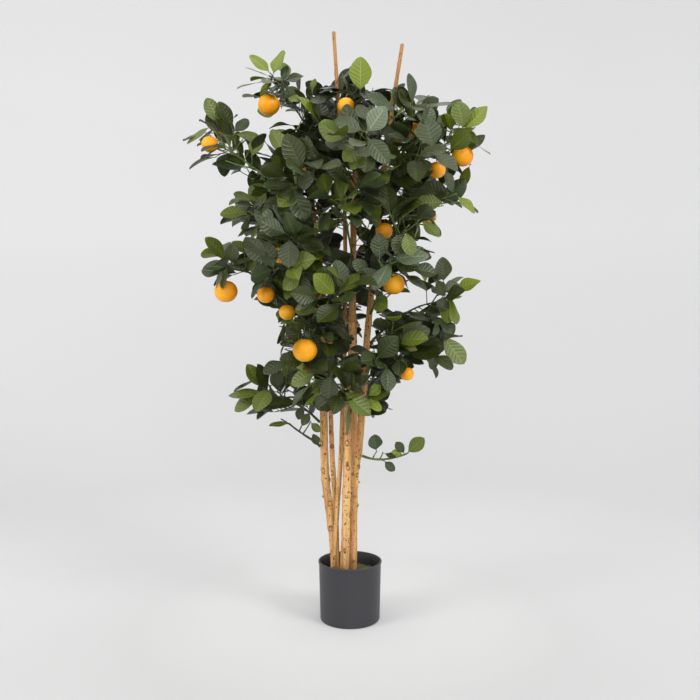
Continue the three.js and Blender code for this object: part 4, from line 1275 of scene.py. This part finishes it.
def pot_material():
    nodes = Nodes("pot_plastic", (54, 54, 58), 0.42, 0.4)
    cloud = nodes.patches(9, 3.0, 0.3, 0.7, nodes.stretched(0.3))
    nodes.shade(Base_Color=nodes.mix(cloud, (52, 52, 56), (58, 58, 62)))
    nodes.bump(nodes.noise(1500, 2.0), 0.00012, 0.35)
    return nodes.material


def fill_material():
    nodes = Nodes("dry_moss", (104, 104, 78), 0.95, 0.15)
    tone = nodes.mix(nodes.patches(38, 4.0, 0.35, 0.68), (122, 122, 92), (92, 88, 62))
    nodes.shade(Base_Color=nodes.mix(nodes.patches(420, 3.0, 0.58, 0.68), tone, (62, 52, 38)))
    nodes.bump(nodes.noise(600, 6.0), 0.0022, 1.0)
    return nodes.material


def peel_material():
    nodes = Nodes("orange_peel", (254, 168, 14), 0.34, 0.4)
    blush = nodes.patches(24, 3.0, 0.35, 0.7)
    nodes.shade(Base_Color=nodes.mix(blush, (255, 182, 26), (250, 148, 6)))
    pores = nodes.node("TexVoronoi", Vector=nodes.place(), Scale=620.0).outputs["Distance"]
    nodes.bump(nodes.spread(pores, 0.0, 0.45), 0.0005, 0.45)
    nodes.shade(Subsurface_Weight=0.12, Subsurface_Radius=(1.0, 0.4, 0.1), Subsurface_Scale=0.004)
    return nodes.material


# The crown's pieces.

# Stems and twigs taper from one radius to another and swing a little to the sides. Bare shoots stand
# beside the tips of some stems.
STEM_PATH = {"step": 9, "swing": 0.9, "waves": (0.9, 0.6), "uneven": 0.1, "uneven_waves": 2.1}
STEM_RADII = (2.7, 1.3)
TWIG_SWING = 0.035
SWING_TURN = 6.28
TWIG_RADII = (1.5, 1.0)
FINE_TWIG_RADII = (1.05, 0.75)
SHOOT = {
    "chance": 0.4,
    "at": 0.9,
    "lean": (-0.9, 0.9),
    "lift": 0.35,
    "length": (28, 44),
    "radii": (0.8, 0.45),
    "probes": (0.3, 0.6, 1),
    "slack": 10,
}
TWIG_TONES = {
    "green": ((112, 128, 70), (84, 98, 52)),
    "dark": ((74, 84, 48), (52, 54, 34)),
}
GREEN_CHANCE = 0.55
ORANGE = {"rows": 28, "sides": 40, "dimple": (0.09, 0.32), "navel": (0.03, 0.25), "ends": (0.9, -0.965)}
CALYX = {"corners": 20, "top": 0.97, "rings": ((0.12, 0.94), (0.25, 0.935)), "lobe": 0.45}
STALK = {"into": 0.9, "arch": 0.45, "radii": (1.0, 0.9), "points": 8, "sides": 7}


def make_leaves(sprays):
    """The leaves of each shade, in one piece for the crown's lower half and one for its upper half."""
    piles = {}
    for spray in sprays:
        half = "lower" if spray.stem.at(0.5)[2] < CROWN_HALF else "upper"
        for leaf in spray.leaves:
            key = (shade_of(leaf, spray), half)
            pile = piles.setdefault(key, Pile("leaves_" + "_".join(key)))
            pile.nodes.add(spray.node)
            add_leaf(pile, leaf)
    for shade, (blade, rib, roughness) in LEAF_LOOKS.items():
        materials = [blade_material(f"leaf_{shade}", blade, roughness), rib_material(f"rib_{shade}", rib)]
        for key in sorted(key for key in piles if key[0] == shade):
            piles[key].dress("leaves", materials)


def stem_path(spray):
    """The stem's middle line in short steps, a little crooked, and its radii."""
    stem = spray.stem
    steps = max(8, round(stem.reach / STEM_PATH["step"]))
    count = np.arange(steps + 1)
    shares = np.linspace(0, 1, steps + 1)
    points = np.array([stem.at(share) for share in shares])
    side, rise = frame_of(unit(points[-1] - points[0]))
    swing = np.sin(math.pi * shares) * STEM_PATH["swing"]
    phase = SWING_TURN * hashed(spray.own, 21)
    sideways, upwards = STEM_PATH["waves"]
    points += np.multiply.outer(swing * np.sin(sideways * count + phase), side)
    points += np.multiply.outer(swing * np.cos(upwards * count + phase), rise)
    uneven = 1 + STEM_PATH["uneven"] * np.sin(STEM_PATH["uneven_waves"] * count)
    return points, lerp(*STEM_RADII, shares) * uneven


def add_twig(pile, twig, radii, seed):
    """A slightly bent twig. The seed turns its bend."""
    shares = np.linspace(0, 1, 6)
    points = twig["start"] + np.multiply.outer(shares * twig["length"], twig["heading"])
    side, rise = frame_of(twig["heading"])
    swing = np.sin(math.pi * shares) * TWIG_SWING * twig["length"]
    points = points + np.multiply.outer(swing * math.cos(seed), side)
    points = points + np.multiply.outer(swing * math.sin(seed), rise)
    add_tube(pile, points, lerp(*radii, shares), 6)


def add_bare_shoot(pile, spray):
    """A thin leafless shoot beside the stem's tip."""
    if hashed(spray.own, 31) > SHOOT["chance"]:
        return
    start = spray.stem.at(SHOOT["at"])
    heading = spray.stem.tangent(1)
    side, _ = frame_of(heading)
    lean = lerp(*SHOOT["lean"], hashed(spray.own, 32))
    heading = unit(heading + side * lean + UP * SHOOT["lift"])
    length = lerp(*SHOOT["length"], hashed(spray.own, 33))
    probes = np.array([start + heading * length * share for share in SHOOT["probes"]])
    if is_free(probes, spray.own, SHOOT["slack"]):
        twig = {"start": start, "heading": heading, "length": length}
        add_twig(pile, twig, SHOOT["radii"], SWING_TURN * hashed(spray.own, 34))


def make_twigs(sprays):
    piles = {tone: Pile(f"twigs_{tone}") for tone in TWIG_TONES}
    for spray in sprays:
        pile = piles["green" if hashed(spray.own, 41) < GREEN_CHANCE else "dark"]
        pile.nodes.add(spray.node)
        add_tube(pile, *stem_path(spray), 8)
        for twigs, radii in ((spray.twigs, TWIG_RADII), (spray.fine_twigs, FINE_TWIG_RADII)):
            for i, twig in enumerate(twigs):
                add_twig(pile, twig, radii, i + spray.own)
        for leaf in spray.leaves:
            add_petiole(pile, leaf)
        add_bare_shoot(pile, spray)
    for tone, colors in TWIG_TONES.items():
        piles[tone].dress("leaves", [stem_material(f"stem_{tone}", *colors)])


def add_orange(pile, fruit, seed):
    """A round fruit, a little flattened and uneven, with a dimple at its stalk."""
    x, y, z, radius = fruit
    rows = ORANGE["rows"]
    sides = ORANGE["sides"]
    dimple, dimple_size = ORANGE["dimple"]
    navel, navel_size = ORANGE["navel"]
    polar = np.linspace(0, math.pi, rows + 1)[1:-1, None]
    around = angles_round(sides)[None]
    size = 1 - dimple * np.exp(-((polar / dimple_size) ** 2))
    size = size - navel * np.exp(-(((math.pi - polar) / navel_size) ** 2))
    size = size + 0.008 * np.sin(3 * around + 6 * seed) * np.sin(polar)
    size = (size + 0.006 * np.sin(5 * around + 9 * seed)) * radius
    points = np.stack([
        x + size * np.sin(polar) * np.cos(around),
        y + size * np.sin(polar) * np.sin(around),
        z + size * np.cos(polar) * FRUIT_SQUASH * np.ones_like(around),
    ], 2).reshape(-1, 3)
    ends = [(x, y, z + end * radius * FRUIT_SQUASH) for end in ORANGE["ends"]]
    faces = [tuple(reversed(face)) for face in capped_faces(rows - 2, sides)]
    pile.add(np.concatenate([points, ends]), faces)


def add_calyx(pile, fruit):
    """The green star on top of a fruit."""
    x, y, z, radius = fruit
    points = [(x, y, z + CALYX["top"] * radius * FRUIT_SQUASH)]
    corners = CALYX["corners"]
    for ring, (size, level) in enumerate(CALYX["rings"]):
        for corner in range(corners):
            angle = corner * TAU / corners
            lobe = size * (1 + CALYX["lobe"] * ring * math.cos(5 * angle))
            points.append((
                x + lobe * radius * math.cos(angle),
                y + lobe * radius * math.sin(angle),
                z + level * radius * FRUIT_SQUASH,
            ))
    faces = []
    for corner in range(corners):
        right = (corner + 1) % corners
        faces.append((0, 1 + corner, 1 + right))
        faces.append((1 + corner, 1 + corners + corner, 1 + corners + right, 1 + right))
    pile.add(points, faces)


def make_oranges(sprays):
    oranges = Pile("oranges")
    stalks = Pile("orange_stalks")
    for spray in sprays:
        for number, fruit in enumerate(spray.stem.fruit + DEEP_FRUIT.get(spray.name, [])):
            x, y, z, radius = fruit
            oranges.nodes.add(spray.node)
            add_orange(oranges, fruit, hashed(spray.own, number, 51))
            add_calyx(stalks, fruit)
            start = nearest_on_stem(spray.stem, np.array((x, y, z + STALK_FROM * radius)))
            end = np.array((x, y, z + STALK["into"] * radius))
            above = end + UP * STALK["arch"] * np.linalg.norm(start - end)
            points = arc(start, above, end, np.linspace(0, 1, STALK["points"])[:, None])
            add_tube(stalks, points, np.linspace(*STALK["radii"], STALK["points"]), STALK["sides"])
    stalks.nodes = oranges.nodes
    oranges.dress("oranges", [peel_material()])
    stalks.dress("oranges", [stem_material("calyx_green", (98, 112, 58), (70, 74, 42))])


# The sticks.

STICK_SIDES = 30
STICK_RING = 3
STICK_SUNK = 4
CUT_DOME = 0.4
# The bark's relief, for a stick with a radius of 8: ridges and grooves, each with its count of ripples.
BARK = {"radius": 8, "ridges": (0.42, 9), "grooves": (0.16, 5), "round": 7, "along": 0.02, "stray": 3}
# Bud scars step up the stick at this pitch, more or less, up to a place below its top. Each knot has one
# scar more.
SCAR = {"pitch": 64, "uneven": (0.5, 1.4), "below_top": 15, "proud": (0.3, 1.3), "dark": (0.4, 1)}
KNOT_SCAR = {"from": -1.2, "over": 1.9, "proud": 1.9, "dark": 1.0}
SCAR_SHAPE = {
    "bud": (0.42, 4.5),
    "mark": (0.5, 3.2),
    "mark_above": 1,
    "collar": 3.2,
    "collar_proud": 0.25,
}
# Short cut branch stubs: the stick, the height, the way it points, its length and its radius.
STUBS = (
    ("left_thin", 556, -40, 13, 4.2),
    ("centre", 604, -125, 12, 4.6),
    ("centre", 590, -20, 10, 3.6),
    ("left_thick", 243, 170, 5, 2.6),
    ("tall_right", 273, 5, 5, 2.4),
)
STUB_RISE = 0.55
STUB_DARK = 0.35
STUB_SIDES = 14
STUB_SHARES = (0, 0.35, 0.7, 0.94, 1)
STUB_TAPER = (1.25, 1.15, 1, 1.02, 0.9)


def scars_of(name, seed):
    """Where a stick has knots and bud scars: height, angle, how far it stands out, and how dark it is."""
    stick = STICKS[name]
    scars = []
    for i, knot in enumerate(stick["knots"]):
        angle = KNOT_SCAR["from"] + KNOT_SCAR["over"] * hashed(seed, i, 61)
        scars.append((knot, angle, KNOT_SCAR["proud"], KNOT_SCAR["dark"]))
    height = STICK_FOOT + SCAR["pitch"] * hashed(seed, 62)
    number = 0
    while height < stick["top"][2] - SCAR["below_top"]:
        angle = TAU * hashed(seed, number, 63)
        proud = lerp(*SCAR["proud"], hashed(seed, number, 64))
        scars.append((height, angle, proud, lerp(*SCAR["dark"], hashed(seed, number, 65))))
        height += SCAR["pitch"] * lerp(*SCAR["uneven"], hashed(seed, number, 66))
        number += 1
    return scars


def make_stick(name, seed, bark, cut):
    """A stick with bark relief: long ridges, swollen knots with a scar, and a flat cut top."""
    stick = STICKS[name]
    bottom = FILL_TOP - STICK_SUNK
    rings = round((stick["top"][2] - bottom) / STICK_RING)
    heights = np.linspace(bottom, stick["top"][2], rings + 1)
    x, y, radius = stick_at(name, heights)
    angle = angles_round(STICK_SIDES)[None] * np.ones((rings + 1, 1))
    level = heights[:, None] * np.ones((1, STICK_SIDES))
    scale = radius[:, None] / BARK["radius"]
    ridge, ridge_waves = BARK["ridges"]
    groove, groove_waves = BARK["grooves"]
    stray = BARK["stray"] * ripple(angle, level, seed + 1, groove_waves)
    size = radius[:, None] + scale * ridge * ripple(angle, level, seed, ridge_waves)
    size = size + scale * groove * np.sin(BARK["round"] * angle + BARK["along"] * level + stray)
    bud_width, bud_height = SCAR_SHAPE["bud"]
    mark_width, mark_height = SCAR_SHAPE["mark"]
    dark = np.zeros_like(level)
    for height, turn, proud, shade in scars_of(name, seed):
        around = np.abs((angle - turn + math.pi) % TAU - math.pi)
        above = level - height
        bud = np.exp(-((around / bud_width) ** 2) - (above / bud_height) ** 2)
        collar = np.exp(-((above / SCAR_SHAPE["collar"]) ** 2))
        mark = (above - SCAR_SHAPE["mark_above"]) / mark_height
        mark = np.exp(-((around / mark_width) ** 2) - mark ** 2)
        size = size + scale * (proud * bud + SCAR_SHAPE["collar_proud"] * proud * collar)
        dark = np.maximum(dark, shade * mark)
    points = np.stack([x[:, None] + size * np.cos(angle), y[:, None] + size * np.sin(angle), level], 2)
    ends = [(x[0], y[0], heights[0]), (x[-1], y[-1], heights[-1] + CUT_DOME)]
    faces = capped_faces(rings, STICK_SIDES)
    slots = np.zeros(len(faces), int)
    slots[-2 * STICK_SIDES:] = 1
    pile = Pile(f"bark_{name}")
    pile.nodes.add(f"stick_{name}")
    pile.add(np.concatenate([points.reshape(-1, 3), ends]), faces, slots.tolist())
    pile.dress("sticks", [bark, cut], {"scar": np.concatenate([dark.ravel(), [0, 0]])})


def make_stubs(bark, cut):
    pile = Pile("branch_stubs")
    for name, height, azimuth, length, radius in STUBS:
        x, y, thick = (float(value) for value in stick_at(name, height))
        turn = math.radians(azimuth)
        heading = unit(np.array((math.cos(turn), math.sin(turn), STUB_RISE)))
        reach = np.array(STUB_SHARES) * (thick + length)
        points = np.array((x, y, height)) + np.multiply.outer(reach, heading)
        add_tube(pile, points, radius * np.array(STUB_TAPER), STUB_SIDES)
        pile.slots[-1] = 1
        pile.nodes.add(f"stick_{name}")
    pile.dress("sticks", [bark, cut], {"scar": STUB_DARK * np.ones(pile.count)})


# The pot and its fill.


# How far the lip's corners are rounded off, and how many steps each of the pot's parts has.
ROUNDING = {"edge": 0.6, "corner": 1.2, "top": 0.35}
POT_STEPS = {"edge": 6, "outside": 8, "inside": 6, "round": 128}
MOSS = {"radius": 58.2, "middle": 2, "rows": 25, "sides": 96, "skirt": 6}


def turned(name, node, outline, sides):
    """An outline of radius and height turned round the pot's axis and closed at its ends."""
    angles = angles_round(sides)
    circle = np.stack([np.cos(angles), np.sin(angles), np.ones(sides)], 1)
    points = [circle * (radius, radius, height) for radius, height in outline]
    ends = [(0, 0, outline[0][1]), (0, 0, outline[-1][1])]
    pile = Pile(name)
    pile.nodes.add(node)
    pile.add(np.concatenate([*points, ends]), capped_faces(len(outline) - 1, sides))
    return pile


def steps_to(first, last, count):
    """An outline's points from one radius and height to another, apart from the first."""
    shares = [step / count for step in range(1, count + 1)]
    return [(lerp(first[0], last[0], share), lerp(first[1], last[1], share)) for share in shares]


def make_pot():
    """A thin-walled pot with a small rolled lip and a rounded foot edge."""
    height = POT["height"]
    foot = POT["foot_radius"]
    edge = POT["edge"]
    lip = POT["lip_radius"]
    lip_foot = height - POT["lip_height"]
    inside = POT["top_radius"] - POT["wall"]
    inside_floor = foot - POT["wall"]
    outline = [(foot - edge - 8, 0), (foot - edge, 0)]
    for step in range(1, POT_STEPS["edge"] + 1):
        turn = step / POT_STEPS["edge"] * math.pi / 2
        outline.append((foot - edge + edge * math.sin(turn), edge - edge * math.cos(turn)))
    small, corner, top = ROUNDING.values()
    wall = POT["top_radius"]
    outline += steps_to((foot, edge), (wall, lip_foot - corner), POT_STEPS["outside"])
    outline += [(wall + 0.2, lip_foot - small), (lip - small, lip_foot), (lip, lip_foot + small)]
    outline += [(lip, height - corner), (lip - top, height - top), (lip - corner, height)]
    outline += [(inside + small, height), (inside, height - small)]
    outline += steps_to((inside, height - small), (inside_floor, POT["floor"]), POT_STEPS["inside"])
    outline.append((inside_floor - 6, POT["floor"]))
    turned("pot_shell", "pot", outline, POT_STEPS["round"]).dress("pot", [pot_material()])


def make_fill():
    """The dry moss on top of the weighted fill, with an uneven top."""
    low = POT["floor"] + 1
    rim = (MOSS["radius"], FILL_TOP)
    outline = [(50, low), (55, low), (57.8, FILL_TOP - MOSS["skirt"]), rim]
    outline += steps_to(rim, (MOSS["middle"], FILL_TOP), MOSS["rows"])
    pile = turned("moss_fill", "fill", outline, MOSS["sides"])
    points = pile.points[0]
    x, y, z = points.T
    lumps = 1.3 * np.sin(0.16 * x + 1.1) * np.sin(0.19 * y + 0.4)
    lumps += 0.8 * np.sin(0.41 * x - 0.23 * y) + 0.5 * np.sin(0.83 * y + 0.57 * x + 1)
    lumps += 0.35 * np.sin(1.9 * x) * np.sin(1.7 * y)
    points[:, 2] += (z > FILL_TOP - 1) * lumps
    pile.dress("fill", [fill_material()])


# The stage: a pale floor, soft light from both sides and the front, and the photograph's camera.

FLOOR = {"radius": 5200, "flat": 1500, "rings": 60, "sides": 96, "curve": 3000}
# Each light's place, the height that it aims at, its size and its power.
LIGHTS = {
    "soft_right": ((1.9, -1.5, 2.2), 0.7, 1.1, 30),
    "soft_left": ((-2.0, -1.2, 1.7), 0.7, 1.2, 20),
    "soft_front": ((0.2, -2.8, 1.4), 0.7, 1.4, 17),
    "soft_top": ((0.0, 0.5, 2.8), 0.6, 1.4, 8),
}
CAMERA = {"focal_pixels": 740, "horizon": 332, "pixels": 700, "sensor": 36}


def gray(value):
    return (value, value, value)


def floor_material():
    """Pale gray, with painted shade and light: a little darker in front of the wall and to the right,
    lighter up the wall, and lightest round the pot, where painted light lifts the plant's shadow.
    """
    nodes = Nodes("pale_floor", gray(218), 0.9, 0.1)
    place = nodes.place()
    across, away, height = nodes.node("SeparateXYZ", Vector=place).outputs
    # Painted shade: the floor is darker towards the front and lighter towards the wall.
    ground_painted_shading = nodes.mix(nodes.spread(away, -0.3, 0.5), gray(204), gray(217))
    from_pot = nodes.node("VectorMath", {"operation": "LENGTH"}, i0=place).outputs["Value"]
    # Painted light round the pot, which lifts the plant's shadow on the floor.
    near = nodes.minus(1.0, nodes.spread(from_pot, 0.1, 0.42))
    ground_painted_shading = nodes.mix(near, ground_painted_shading, gray(226))
    # Painted light up the wall, lighter with height.
    wall = nodes.mix(nodes.spread(height, 0.9, 2.2), gray(232), gray(240))
    tone = nodes.mix(nodes.spread(height, 0.0, 1.2), ground_painted_shading, wall)
    # Painted shade towards the right.
    right = nodes.times(nodes.spread(across, -1.8, 1.8), 0.08)
    nodes.shade(Base_Color=nodes.mix(right, tone, gray(120)))
    return nodes.material


def make_floor():
    """A seamless backdrop: a flat floor that curves up into a wall all round."""
    rings = FLOOR["rings"]
    sides = FLOOR["sides"]
    angles = angles_round(sides)
    points = [(0, 0, 0)]
    for ring in range(1, rings + 1):
        reach = FLOOR["radius"] * ring / rings
        rise = max(0, reach - FLOOR["flat"]) ** 2 / FLOOR["curve"]
        points += [(reach * math.cos(angle), reach * math.sin(angle), rise) for angle in angles]
    faces = [(0, 1 + side, 1 + (side + 1) % sides) for side in range(sides)]
    for first, second, third, fourth in grid_faces(rings - 1, sides, True):
        faces.append((1 + first, 1 + fourth, 1 + third, 1 + second))
    pile = Pile("floor")
    pile.add(points, faces)
    pile.to_object([floor_material()])


def make_lights():
    for name, (place, aim, size, power) in LIGHTS.items():
        data = bpy.data.lights.new(name, "AREA")
        data.shape = "DISK"
        data.size = size
        data.energy = power
        light = bpy.data.objects.new(name, data)
        light.location = place
        light.rotation_euler = (Vector((0, 0, aim)) - Vector(place)).to_track_quat("-Z", "Y").to_euler()
        bpy.context.scene.collection.objects.link(light)


def make_world():
    scene = bpy.context.scene
    world = bpy.data.worlds.new("studio")
    world.use_nodes = True
    background = world.node_tree.nodes["Background"]
    background.inputs["Color"].default_value = (0.88, 0.88, 0.88, 1)
    background.inputs["Strength"].default_value = 1.0
    scene.world = world
    scene.view_settings.view_transform = "Standard"
    scene.view_settings.look = "None"


def make_camera():
    """A level camera whose picture is shifted down, so that upright lines stay upright."""
    pixels = CAMERA["pixels"]
    data = bpy.data.cameras.new("camera")
    data.sensor_width = CAMERA["sensor"]
    data.lens = CAMERA["sensor"] * CAMERA["focal_pixels"] / pixels
    data.shift_y = (CAMERA["horizon"] - pixels / 2) / pixels
    camera = bpy.data.objects.new("camera", data)
    camera.location = (0, -FRONT["distance"] * MM, FRONT["height"] * MM)
    camera.rotation_euler = (math.pi / 2, 0, 0)
    bpy.context.scene.collection.objects.link(camera)
    bpy.context.scene.camera = camera


def make_plant():
    sprays = grow_crown()
    make_leaves(sprays)
    make_twigs(sprays)
    make_oranges(sprays)
    bark = bark_material()
    cut = cut_material()
    for seed, name in enumerate(STICKS):
        make_stick(name, seed, bark, cut)
    make_stubs(bark, cut)
    make_pot()
    make_fill()


make_camera()
make_plant()
make_floor()
make_lights()
make_world()
